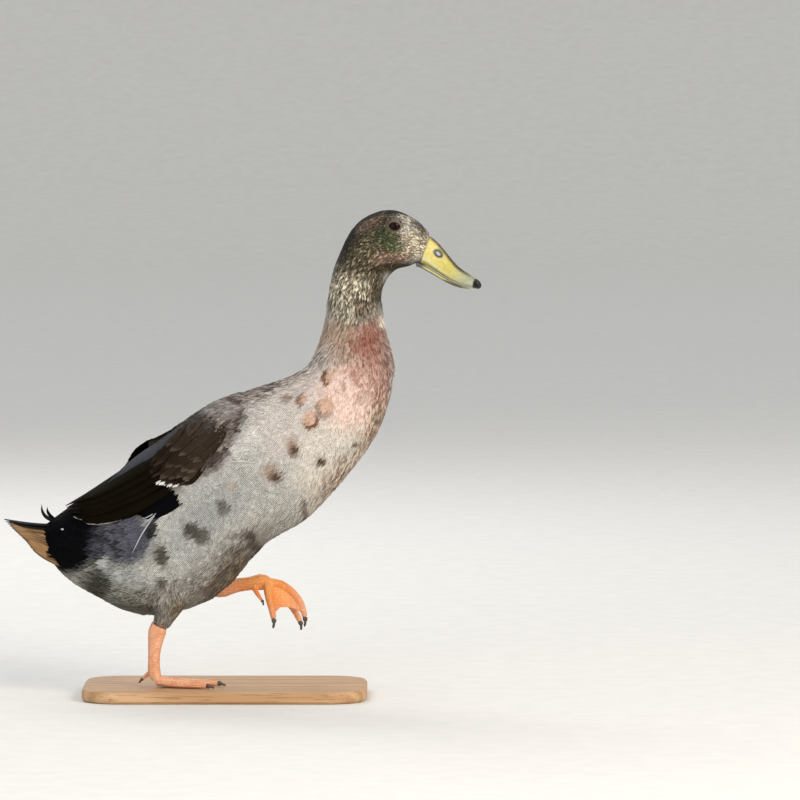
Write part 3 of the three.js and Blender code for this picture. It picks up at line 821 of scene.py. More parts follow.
class Graph:
    """Adds nodes to the tree of one material or group and links them."""

    def __init__(self, tree: NodeTree) -> None:
        """Takes the tree to add to."""
        self.tree = tree

    def node(self, kind: str, **values: object) -> Node:
        """Adds a node.

        Args:
            kind: the node's type, without ShaderNode.
            values: its settings in lower case, and its inputs as named, with _ for a blank.

        Returns:
            The node.
        """
        made = self.tree.nodes.new("ShaderNode" + kind)
        for key, value in values.items():
            if key[0].islower():
                setattr(made, key, value)
            else:
                self.feed(made.inputs[key.replace("_", " ")], value)
        return made

    def feed(self, socket: Socket, value: object) -> None:
        """Links a socket to another, or sets its value."""
        if isinstance(value, Socket):
            self.tree.links.new(value, socket)
        else:
            socket.default_value = value

    def dress(self, made: Node, **values: object) -> None:
        """Links or sets a node's inputs, which are named with _ for a blank."""
        for key, value in values.items():
            self.feed(made.inputs[key.replace("_", " ")], value)

    def solved(self, kind: str, operation: str, values: tuple[object, ...]) -> Node:
        """A Math or VectorMath node with its inputs filled in turn."""
        made = self.node(kind, operation=operation)
        for socket, value in zip(made.inputs, values):
            self.feed(socket, value)
        return made

    def math(self, operation: str, *values: object) -> Socket:
        """A Math node's result."""
        return self.solved("Math", operation, values).outputs[0]

    def vector(self, operation: str, *values: object) -> Node:
        """A VectorMath node."""
        return self.solved("VectorMath", operation, values)

    def grey(self, value: object) -> Socket:
        """A grey of that brightness."""
        return self.node("CombineColor", Red=value, Green=value, Blue=value).outputs[0]

    def span(self, value: object, low: float, high: float, start: float = 0.0, end: float = 1.0) -> Socket:
        """Value carried smoothly from the range low to high to the range start to end."""
        made = self.node("MapRange", interpolation_type="SMOOTHSTEP")
        for socket, given in zip(made.inputs, (value, low, high, start, end)):
            self.feed(socket, given)
        return made.outputs[0]

    def mix(self, share: object, first: object, second: object, blend: str = "MIX") -> Socket:
        """Two colours mixed."""
        made = self.node("Mix", data_type="RGBA", blend_type=blend)
        for socket, value in zip((made.inputs[0], made.inputs[6], made.inputs[7]), (share, first, second)):
            self.feed(socket, value)
        return made.outputs[2]

    def noise(self, vector: object, scale: float, detail: float = 2.0, rough: float = 0.5) -> Socket:
        """Noise between 0 and 1."""
        return self.node("TexNoise", Vector=vector, Scale=scale, Detail=detail, Roughness=rough).outputs[0]

    def place(self) -> Socket:
        """The place in the object's own frame."""
        return self.node("TexCoord").outputs["Object"]

    def attribute(self, name: str) -> Node:
        """An attribute of the mesh."""
        return self.node("Attribute", attribute_name=name)

    def bump(self, height: object, distance: float, strength: float = 1.0) -> Socket:
        """A normal from a height in metres times distance."""
        return self.node("Bump", Height=height, Distance=distance, Strength=strength).outputs[0]


def new_material(name: str) -> tuple[Material, Graph, Node]:
    """A material with its graph and its Principled shader."""
    made = bpy.data.materials.new(name)
    made.use_nodes = True
    return made, Graph(made.node_tree), made.node_tree.nodes["Principled BSDF"]


def new_group(name: str, inputs: dict[str, str], outputs: dict[str, str]) -> tuple[NodeTree, Graph, dict,
    Node]:
    """A shader node group.

    Args:
        name: its name.
        inputs: the kind of socket for each input's name.
        outputs: the same for each output's.

    Returns:
        The group, its graph, its inputs by name and its output node.
    """
    tree = bpy.data.node_groups.new(name, "ShaderNodeTree")
    for label, kind in inputs.items():
        tree.interface.new_socket(name=label, in_out="INPUT", socket_type="NodeSocket" + kind)
    for label, kind in outputs.items():
        tree.interface.new_socket(name=label, in_out="OUTPUT", socket_type="NodeSocket" + kind)
    given = tree.nodes.new("NodeGroupInput")
    return tree, Graph(tree), {s.name: s for s in given.outputs
        if s.name}, tree.nodes.new("NodeGroupOutput")


class VaneGroups:
    """The shared node groups of the feathers' finishes, each built once."""

    @staticmethod
    @cache
    def barbs() -> NodeTree:
        """The slanting barbs of a vane: shade and height of each, and how far the rim shows."""
        sockets = {"Vane": "Vector", "Count": "Float", "Slant": "Float", "Sides": "Float", "Tip": "Float"}
        tree, g, given, out = new_group("Barbs", sockets, {"Shade": "Float", "Height": "Float",
            "Rim": "Float"})
        parts = g.node("SeparateXYZ", Vector=given["Vane"])
        across, along, chance = parts.outputs
        away = g.math("ABSOLUTE", across)
        slanted = g.math("SUBTRACT", along, g.math("MULTIPLY", away, given["Slant"]))
        line = g.math("MULTIPLY", slanted, given["Count"])
        place = g.node("CombineXYZ", X=line, Y=g.math("MULTIPLY", across, 2.0), Z=g.math("MULTIPLY", chance,
            40.0))
        fine = g.noise(place.outputs[0], 1.0, 2.0, 0.6)
        coarse = g.noise(place.outputs[0], 0.35, 1.0)
        shade = g.math("ADD", g.math("MULTIPLY", fine, 0.6), g.math("MULTIPLY", coarse, 0.4))
        shaft = g.span(away, 0.02, 0.1, 1.0, 0.0)
        height = g.math("ADD", fine, g.math("MULTIPLY", shaft, 0.7))
        ragged = g.math("MULTIPLY", g.math("SUBTRACT", fine, 0.5), 0.35)
        end = g.math("DIVIDE", g.math("SUBTRACT", along, given["Tip"]), g.math("SUBTRACT", 1.0,
            given["Tip"]))
        side = g.math("MULTIPLY", g.math("MULTIPLY", away, given["Sides"]), g.span(along, 0.35, 0.75, 0.85,
            1.0))
        reach = g.math("MAXIMUM", side, end)
        g.dress(out, Shade=shade, Height=height, Rim=g.math("ADD", reach, ragged))
        return tree

    @staticmethod
    @cache
    def fine_lines() -> NodeTree:
        """Fine wavy lines across the lie of the flank, as a shade for its colour."""
        sockets = {"Place": "Vector", "Strength": "Float"}
        tree, g, given, out = new_group("FineLines", sockets, {"Shade": "Float"})
        turned = g.node("Mapping", Vector=given["Place"], Rotation=(0.0, math.radians(38.0), 0.0))
        lines = g.node("TexWave", Vector=turned.outputs[0], Scale=255.0, Distortion=3.0, Detail=2.0,
            Detail_Scale=2.6)
        broken = g.span(g.noise(given["Place"], 210.0, 3.0), 0.3, 0.6, 0.5, 1.0)
        dark = g.math("MULTIPLY", g.span(lines.outputs["Fac"], 0.3, 0.75), broken)
        g.dress(out, Shade=g.math("SUBTRACT", 1.0, g.math("MULTIPLY", dark, given["Strength"])))
        return tree


@dataclass(frozen=True)
class FeatherFinish:
    """The finish of one kind of feather.

    Attributes:
        name: the material's name.
        count: how many barbs show along a feather.
        slant: how far the barbs lean back over half the width, in feather lengths.
        rim: where the rim colour starts, from 0 at the shaft to 1 at the edge.
        contrast: how strongly single barbs show.
        rough: the roughness.
        relief: the height of the barbs.
        sheen: how much soft light the barbs catch.
        specular: how much the surface shines.
        soft: over what share of the half width the rim colour fades in.
        sides: how far the rim runs up the feather's sides, from 0 to 1.
        tip: where along the feather the rim's fade begins.
    """

    name: str
    count: float = 26.0
    slant: float = 0.35
    rim: float = 0.6
    contrast: float = 0.35
    rough: float = 0.8
    relief: float = 0.0001
    sheen: float = 0.12
    specular: float = 0.2
    soft: float = 0.35
    sides: float = 1.0
    tip: float = 0.5

    def build(self) -> Material:
        """Makes the material, which reads the attributes plumage, rim and vane."""
        made, g, shader = new_material(self.name)
        base, rim, vane = g.attribute("plumage"), g.attribute("rim"), g.attribute("vane")
        barbs = g.node("Group", node_tree=VaneGroups.barbs(), Vane=vane.outputs["Vector"])
        g.dress(barbs, Count=self.count, Slant=self.slant, Sides=self.sides, Tip=self.tip)
        edge = g.span(barbs.outputs["Rim"], self.rim, self.rim + self.soft)
        colour = g.mix(edge, base.outputs["Color"], rim.outputs["Color"])
        lines = g.node("Group", node_tree=VaneGroups.fine_lines(), Place=g.place(),
            Strength=rim.outputs["Alpha"])
        dark, light = 1 - self.contrast / 2, 1 + self.contrast / 2
        shade = g.math("MULTIPLY", g.span(barbs.outputs["Shade"], 0.3, 0.7, dark, light), lines.outputs[0])
        g.dress(
            shader, Base_Color=g.mix(1.0, colour, g.grey(shade), "MULTIPLY"),
            Normal=g.bump(barbs.outputs["Height"], self.relief), Roughness=self.rough,
            Specular_IOR_Level=self.specular, Sheen_Weight=self.sheen, Sheen_Roughness=0.5,
        )
        return made


# ---- feathers


@dataclass(frozen=True)
class Cut:
    """The outline of a kind of feather, and how finely it is made.

    Attributes:
        rows: how many steps it has from root to tip.
        around: how many corners its cross section has.
        widest: where it is widest, as a share of its length.
        root: how wide its root is, as a share of its width.
        tip: the same for its tip.
        swept: how far its edges end before its shaft does, as a share of its length.
        camber: how far the shaft stands over the edges, as a share of its width.
        thick: its thickness.
        lift: how its height grows from root to tip; above 1 it stays low longer.
        taper: how its end narrows: 0.5 is round, 1 and more is pointed.
    """

    rows: int = 5
    around: int = 6
    widest: float = 0.6
    root: float = 0.45
    tip: float = 0.35
    swept: float = 0.12
    camber: float = 0.05
    thick: float = 0.00025
    lift: float = 1.2
    taper: float = 0.5

    def template(self) -> tuple[Array, list[list[int]]]:
        """One feather as a tube along Z between -1 and 1, with sharp edges at X -1 and 1.

        Returns:
            Its corners as across, over and along, and its faces.
        """
        bm = tube(self.around, self.rows, math.pi / 2)
        bmesh.ops.recalc_face_normals(bm, faces=bm.faces)
        bm.verts.index_update()
        corners = np.array([vertex.co for vertex in bm.verts])
        faces = [[vertex.index for vertex in face.verts] for face in bm.faces]
        bm.free()
        return corners, faces

    def width(self, along: Array) -> Array:
        """The feather's width at shares of its length, as a share of its greatest."""
        rise = self.root + (1 - self.root) * np.sin(np.clip(along / self.widest, 0, 1) * math.pi / 2)
        past = np.clip((along - self.widest) / (1 - self.widest), 0, 1)
        fall = self.tip + (1 - self.tip) * np.maximum(0, 1 - past**2.2) ** self.taper
        return np.where(along < self.widest, rise, fall)


@dataclass
class Feathers:
    """Feathers of one cut, gathered to become one piece.

    Attributes:
        name: the piece's name.
        cut: the feathers' cut.
        laid: for the corners of what was laid, their places, middle and rim colours, places on the vane,
            and places on the baked map.
    """

    name: str
    cut: Cut
    laid: list[tuple[Array, ...]] = field(default_factory=list)

    def lay(
        self, surface: Surface, lines: Array, widths: Array, heights: tuple[Array, Array], tints: Array,
        charted: Array, rng: Chance, hug: float = 1.0, tilt: float = 0.0, normals: Array | None = None,
    ) -> None:
        """Lays feathers along lines on a surface.

        Args:
            surface: what they lie on.
            lines: the places of each feather's shaft, from root to tip, one for each row of the cut.
            widths: each feather's greatest width.
            heights: how high each root and each tip stands over the surface.
            tints: each feather's tint, as the numbers of Tint.row.
            charted: each root's place on the unwrapped skin, from 0 to 1.
            rng: the source of chance.
            hug: how far the vane bends to the surface, from 0 to 1.
            tilt: how far the edge that is on its right stands up, as a share of the width.
            normals: the surface's normals at the lines' places, where they are known.
        """
        corners, _ = self.cut.template()
        count = len(lines)
        across, over, along = corners[:, 0], corners[:, 1], (corners[:, 2] + 1) / 2
        row = np.rint(along * self.cut.rows).astype(int)
        if normals is None:
            _, normals = surface.nearest(lines)
        heading = unit(np.gradient(lines, axis=1))
        sideways = unit(np.cross(normals, heading))
        length = np.linalg.norm(np.diff(lines, axis=1), axis=2).sum(1)
        reach = (across * self.cut.width(along) / 2)[None, :, None] * widths[:, None, None] * sideways[:,
            row]
        swept = (across**2 * along**3 * self.cut.swept)[None, :, None] * length[:, None, None] * heading[:,
            row]
        wanted = lines[:, row] + reach - swept
        bed, bed_normals = wanted, normals[:, row]
        if hug:
            near, near_normals = surface.nearest(wanted)
            bed = wanted * (1 - hug) + near * hug
            bed_normals = unit(bed_normals * (1 - hug) + near_normals * hug)
        low, high = heights
        rise = low[:, None] + (high - low)[:, None] * along**self.cut.lift
        rise += (1 - across**2) * self.cut.camber * widths[:, None] * self.cut.width(along)
        rise += over * self.cut.thick / 2 + across * tilt * widths[:, None] / 2
        chance = rng.random(count)
        colours, rims = (np.repeat(tints[:, None, some], len(corners), axis=1) for some in ([0, 1, 2], [3,
            4, 5, 7]))
        vane = np.empty((count, len(corners), 3))
        vane[..., 0], vane[..., 1], vane[..., 2] = across, along, chance[:, None]
        patch = np.stack([across, along * 2 - 1], axis=1)[None] * BAKE_PATCH / 2
        self.laid.append((bed + bed_normals * rise[..., None], colours, rims, vane, charted[:, None]
            + patch))

    def build(self, slot: str, material: Material, replaced: tuple[str, ...] = ()) -> None:
        """Joins the feathers to one piece."""
        _, faces = self.cut.template()
        places, colours, rims, vanes, patches = (np.concatenate(rows) for rows in zip(*self.laid))
        count, corners = places.shape[:2]
        start = (np.arange(count) * corners)[:, None]
        loops = (start + np.concatenate(faces)[None]).ravel()
        sizes = np.tile([len(face) for face in faces], count)
        mesh = bpy.data.meshes.new(self.name)
        mesh.vertices.add(count * corners)
        mesh.loops.add(len(loops))
        mesh.polygons.add(len(sizes))
        mesh.loops.foreach_set("vertex_index", loops.astype(np.int32))
        mesh.polygons.foreach_set("loop_start", np.concatenate([[0],
            np.cumsum(sizes)[:-1]]).astype(np.int32))
        mesh.vertices.foreach_set("co", places.astype(np.float32).ravel())
        mesh.update(calc_edges=True)
        paint(mesh, "plumage", colours.reshape(-1, 3))
        paint(mesh, "rim", rims.reshape(-1, 4))
        vane = mesh.attributes.new("vane", "FLOAT_VECTOR", "POINT")
        vane.data.foreach_set("vector", vanes.astype(np.float32).ravel())
        unwrap(mesh, patches.reshape(-1, 2)[loops])
        piece(self.name, mesh, [material], replaced, self.cut.around > 4)


def paint(mesh: Mesh, name: str, colours: Array) -> None:
    """Stores a colour for each vertex of a mesh."""
    layer = mesh.color_attributes.new(name, "FLOAT_COLOR", "POINT")
    rows = np.ones((len(colours), 4), np.float32)
    rows[:, : colours.shape[1]] = colours
    layer.data.foreach_set("color", rows.ravel())


def unwrap(mesh: Mesh, places: Array) -> None:
    """Stores the map that the colours are baked on, one place for each loop."""
    layer = mesh.uv_layers.new(name="OFBake")
    layer.data.foreach_set("uv", places.astype(np.float32).ravel())


@dataclass(frozen=True)
class Bed:
    """A part of the coat that becomes one piece.

    Attributes:
        name: the piece's name.
        slot: the name of a material slot, which is not used.
        cut: the cut of its feathers.
        finish: their finish.
        reach: the shares of the body's length where it starts and ends.
        side: the side that it is on, or none for both.
        length: the feathers' length over the space between their roots.
        width: the same for their width.
        angles: the least and greatest angle from the back, in degrees, where its roots are.
        ruffle: how far the tips stand out over the outline at most, as a share of the coat's depth.
        sway: how far a feather turns from the lie, in radians.
    """

    name: str
    slot: str
    cut: Cut
    finish: FeatherFinish
    reach: Pair
    side: Side | None = None
    length: float = 3.4
    width: float = 1.9
    angles: Pair = (0.0, 180.0)
    ruffle: float = 0.08
    sway: float = 0.1

    def holds(self, chart: Chart) -> Array:
        """Which roots belong to the bed."""
        turned = np.degrees(np.abs(chart.angle))
        inside = (chart.share >= self.reach[0]) & (chart.share < self.reach[1])
        inside &= (turned >= self.angles[0]) & (turned < self.angles[1])
        if self.side:
            inside &= chart.angle * self.side.value >= 0
        return inside


FINE = Cut(rows=2, around=4, widest=0.5, root=0.6, tip=0.2, swept=0.1, camber=0.04, thick=0.0002, taper=0.8)
SHAGGY = Cut(rows=3, around=4, widest=0.5, root=0.6, tip=0.12, swept=0.12, camber=0.08, thick=0.00025,
    taper=0.9)
SOFT = Cut(rows=3, around=4, widest=0.55, root=0.7, tip=0.15, swept=0.15, camber=0.03, thick=0.00012,
    taper=0.8)


@dataclass
class Coat:
    """The feathers of the body, which follow its lie and grow with the distance from the bill.

    Attributes:
        skin: what they grow from.
        plumage: their colours.
        bare: what they keep off.
        spacings: the space between roots, in mm, at shares of the body's length.
        beds: the pieces that they are joined to.
        candidates: how many places are tried for roots.
        clump: the size of the groups that stand up together.
        vary: how much smaller or larger one feather is than the next.
        sunk: how deep the roots lie under the coat's surface, in shares of its depth.
        settled: how deep the tips lie under it at most.
        fringe: how far the tips stand out at the hocks at most, in mm.
    """

    skin: Skin
    plumage: Plumage
    bare: Surface
    spacings: tuple[Pair, ...] = (
        (0.0, 2.1), (0.12, 1.85), (0.3, 1.6), (0.56, 1.55), (0.64, 1.45), (0.72, 1.5), (0.8, 1.35), (0.86,
            1.15),
        (0.93, 1.0), (1.0, 0.88),
    )
    beds: tuple[Bed, ...] = (
        Bed("coat_face", "head_feathers", FINE, FeatherFinish("face_feathers", 14, rim=0.6, sheen=0.04),
            (0.9, 1.01)),
        Bed("coat_head", "head_feathers", FINE, FeatherFinish("head_feathers", 16, rim=0.6, sheen=0.04),
            (0.82, 0.9), None, 4.2, 1.7),
        Bed("coat_neck", "neck_feathers", SHAGGY, FeatherFinish("neck_feathers", 20, rim=0.55), (0.7, 0.82),
            None, 5.5, 1.4,
            ruffle=0.8, sway=0.24),
        Bed("coat_breast", "breast_feathers", SOFT, FeatherFinish("breast_feathers", 30), (0.56, 0.7), None,
            6.5, 1.9),
        *(
            Bed(f"coat_{part}_{side.word}", "pale_feathers", SOFT,
                FeatherFinish(f"{part}_feathers_{side.word}"), reach,
                side, 7.4, 2.0)
            for part, reach in (("flank", (0.12, 0.36)), ("shoulder", (0.36, 0.56))) for side in Side
        ),
        Bed("coat_rump", "black_feathers", SOFT, FeatherFinish("rump_feathers", rough=0.7, sheen=0.0,
            specular=0.03),
            (-0.01, 0.12), None, 7.0, 2.0),
    )
    candidates: int = 360000
    clump: float = 0.011
    vary: Pair = (0.85, 1.15)
    sunk: Pair = (-0.62, -0.5)
    settled: float = -0.16
    fringe: float = 5.0

    def roots(self, rng: Chance) -> Array:
        """Scatters roots over the skin, as far apart as the spacing asks."""
        mesh = self.skin.outer.mesh
        mesh.calc_loop_triangles()
        corners = np.empty(len(mesh.loop_triangles) * 3, np.int32)
        mesh.loop_triangles.foreach_get("vertices", corners)
        triangle = coords(mesh)[corners.reshape(-1, 3)]
        area = np.linalg.norm(np.cross(triangle[:, 1] - triangle[:, 0], triangle[:, 2] - triangle[:, 0]),
            axis=1)
        middle = triangle.mean(1)
        weight = area / self.spacing(middle) ** 2
        chosen = rng.choice(len(triangle), self.candidates, p=weight / weight.sum())
        a, b = rng.random((2, self.candidates, 1))
        flip = a + b > 1
        a, b = np.where(flip, 1 - a, a), np.where(flip, 1 - b, b)
        corner = triangle[chosen]
        points = corner[:, 0] + a * (corner[:, 1] - corner[:, 0]) + b * (corner[:, 2] - corner[:, 0])
        points = points[self.bare.distance(points) > BARE_MARGIN]
        points = points[from_hocks(points) > 1]
        space = self.spacing(points)
        tree = KDTree(len(points))
        for i, point in enumerate(points.tolist()):
            tree.insert(point, i)
        tree.balance()
        free = np.ones(len(points), bool)
        kept = []
        for i, point in enumerate(points.tolist()):
            if free[i]:
                kept.append(i)
                for _, j, _ in tree.find_range(point, space[i]):
                    free[j] = False
        return points[kept]

    def spacing(self, points: Array) -> Array:
        """The space between roots at places on the skin."""
        shares, spaces = zip(*self.spacings)
        return np.interp(self.skin.spine.locate(points).share, shares, spaces) * MM

    def build(self) -> None:
        """Grows every bed."""
        rng = np.random.default_rng(SEED)
        points = self.roots(rng)
        roots, normals = self.skin.outer.nearest(points)
        chart = self.skin.spine.locate(roots)
        LOG.info("%d roots over %.3f m", len(roots), self.skin.spine.length)
        for bed in self.beds:
            held = bed.holds(chart)
            part = Chart(chart.share[held], chart.angle[held])
            self.grow(bed, roots[held], normals[held], part, rng)

    def grow(self, bed: Bed, roots: Array, normals: Array, chart: Chart, rng: Chance) -> None:
        """Grows the feathers of one bed."""
        count = len(roots)
        space = self.spacing(roots) * rng.uniform(*self.vary, count)
        length, width = space * bed.length, space * bed.width
        sway = rng.normal(0, bed.sway, count)[:, None]
        lines, upright = [roots], [normals]
        for _ in range(bed.cut.rows):
            heading = self.skin.lie(lines[-1], upright[-1])
            heading = unit(heading + np.cross(upright[-1], heading) * sway)
            place, normal = self.skin.outer.nearest(lines[-1] + heading * (length / bed.cut.rows)[:, None])
            lines.append(place)
            upright.append(normal)
        line, upright = np.stack(lines, axis=1), np.stack(upright, axis=1)
        share = (chart.share - bed.reach[0]) / (bed.reach[1] - bed.reach[0])
        charted = np.column_stack([chart.angle / math.tau + 0.5, np.clip(share, 0, 1)]) * 0.98 + 0.01
        clump = drift(line[:, -1], self.clump, 7) - 0.5
        high = self.skin.depth(line[:, -1]) * (rng.uniform(self.settled, bed.ruffle, count) + clump * 0.32)
        high += np.clip(1.5 - from_hocks(roots), 0, 0.5) * rng.uniform(0.0, 1.0, count) * self.fringe * MM
        low = self.skin.depth(roots) * rng.uniform(*self.sunk, count)
        feathers = Feathers(bed.name, bed.cut)
        tints = self.coloured(line[:, -1] * 0.6 + line[:, -2] * 0.4, clump, rng)
        feathers.lay(self.skin.outer, line, width, (low, high), tints, charted, rng, 0.0, 0.0, upright)
        feathers.build(bed.slot, bed.finish.build())

    def coloured(self, places: Array, clump: Array, rng: Chance) -> Array:
        """The tints of feathers whose ends are at places.

        Args:
            places: where they end.
            clump: a value from -0.5 to 0.5 that neighbours share; it also paints shade, lighter where a
                clump stands higher and darker where it sits lower.
            rng: the source of chance.

        Returns:
            A row of Tint.row for each feather.
        """
        tints = self.plumage.at(places)
        fleck = np.clip((rng.random(len(places)) - 1 + tints[:, 8]) / 0.12, 0, 1)[:, None]
        tints[:, :3] = tints[:, :3] * (1 - fleck) + tints[:, 3:6] * fleck
        # painted shade: the clump value, which also sets how high a clump stands, makes raised clumps
        # lighter and sunk ones darker
        change = 1 + tints[:, 6] * (rng.uniform(-1, 1, len(places)) + clump)
        tints[:, :6] *= np.clip(change, 0.15, 2.0)[:, None]
        return tints


# ---- wings and tail

VANE = Cut(rows=9, around=8, widest=0.6, root=0.5, tip=0.3, swept=0.1, camber=0.05, thick=0.0005, lift=1.0,
    taper=0.6)
COVERT = Cut(rows=6, around=8, widest=0.62, root=0.55, tip=0.4, swept=0.12, camber=0.04, thick=0.0004,
    lift=1.0)
QUILL = Cut(rows=9, around=6, widest=0.45, root=0.5, tip=0.12, swept=0.06, camber=0.05, thick=0.0005,
    lift=1.0, taper=0.9)

BROWN = Tint(0x32281F, 0x55493E, 0.28)
BROWN_DEEP = Tint(0x1B130C, 0x33271D, 0.24)
BROWN_GREY = Tint(0x40372F, 0x554B43, 0.25)
BLACK = Tint(0x040406, 0x07070A, 0.1)
BLACK_TIPPED = Tint(0x040406, 0xBDB9B0, 0.1)
WHITE = Tint(0xD8D4CC, 0xF0ECE4, 0.1)
TERTIAL_LOW = Tint(0x0E0903, 0xC9C2B4, 0.05)
TERTIAL = Tint(0x0F0A03, 0x1E170B, 0.05)
# painted sheen: the grey strip along the back where the dark inner tertials' edges catch the light; the
# lighter one is its brightest part
SHEEN_STRIP = Tint(0x303236, 0x484A50, 0.05)
SHEEN_STRIP_LIGHT = Tint(0x42444A, 0x52545A, 0.05)
HAIR = Tint(0xDAD6CE, 0xE8E5DE, 0.1)
PLUME = Tint(0xB6B6BC, 0xD8D8DC, 0.05)


@dataclass(frozen=True)
class Row:
    """A row of like feathers on each side of the bird, from its upper edge to its lower.

    Places are forward and up in mm, as seen from the side. One over the back's outline is on the back.

    Attributes:
        count: how many feathers it has.
        roots: the places of its first and last root.
        tips: the places of its first and last tip.
        width: the feathers' width, in mm.
        tints: the tints of its first and last feather.
        heights: how high roots and tips stand over the surface, in mm.
        bow: how far the tips of the middle feathers reach past the line between the first and last.
        sag: how far the middle of a feather bends down, in mm.
        tilt: how far the upper edge stands over the lower, as a share of the width.
        loose: how far tips and roots stray from their places, in mm.
    """

    count: int
    roots: tuple[Pair, Pair]
    tips: tuple[Pair, Pair]
    width: float
    tints: tuple[Tint, Tint]
    heights: Pair
    bow: float = 0.0
    sag: float = 0.0
    tilt: float = 0.1
    loose: float = 0.0

    def lines(self, rows: int, surface: Surface, side: Side, rng: Chance) -> Array:
        """The shafts of the row's feathers, stiff and close to the surface."""
        shafts = []
        for share in np.linspace(0, 1, self.count):
            root, tip = (np.array(ends[0]) * (1 - share) + np.array(ends[1]) * share
                for ends in (self.roots, self.tips))
            tip = tip + unit(tip - root) * self.bow * 4 * share * (1 - share)
            root, tip = (place + rng.uniform(-1, 1, 2) * self.loose for place in (root, tip))
            steps = np.linspace(0, 1, rows + 1)[:, None]
            flat = root * (1 - steps) + tip * steps
            flat[:, 1] -= self.sag * 4 * steps[:, 0] * (1 - steps[:, 0])
            shafts.append([surface.beside(forward, up, side) for forward, up in flat])
        return stiffened(np.array(shafts))


def stiffened(lines: Array) -> Array:
    """Lines with each one changed to the nearest even bend."""
    steps = np.linspace(-1, 1, lines.shape[1])
    basis = np.column_stack([np.ones_like(steps), steps, steps**2])
    even = basis @ np.linalg.pinv(basis)
    return np.einsum("ij,njk->nik", even, lines)


def mottled(tints: Array, rng: Chance) -> Array:
    """Rows of Tint.row, each one brighter or darker by chance."""
    tints[:, :6] *= (1 + tints[:, 6] * rng.uniform(-1, 1, len(tints)))[:, None]
    return tints


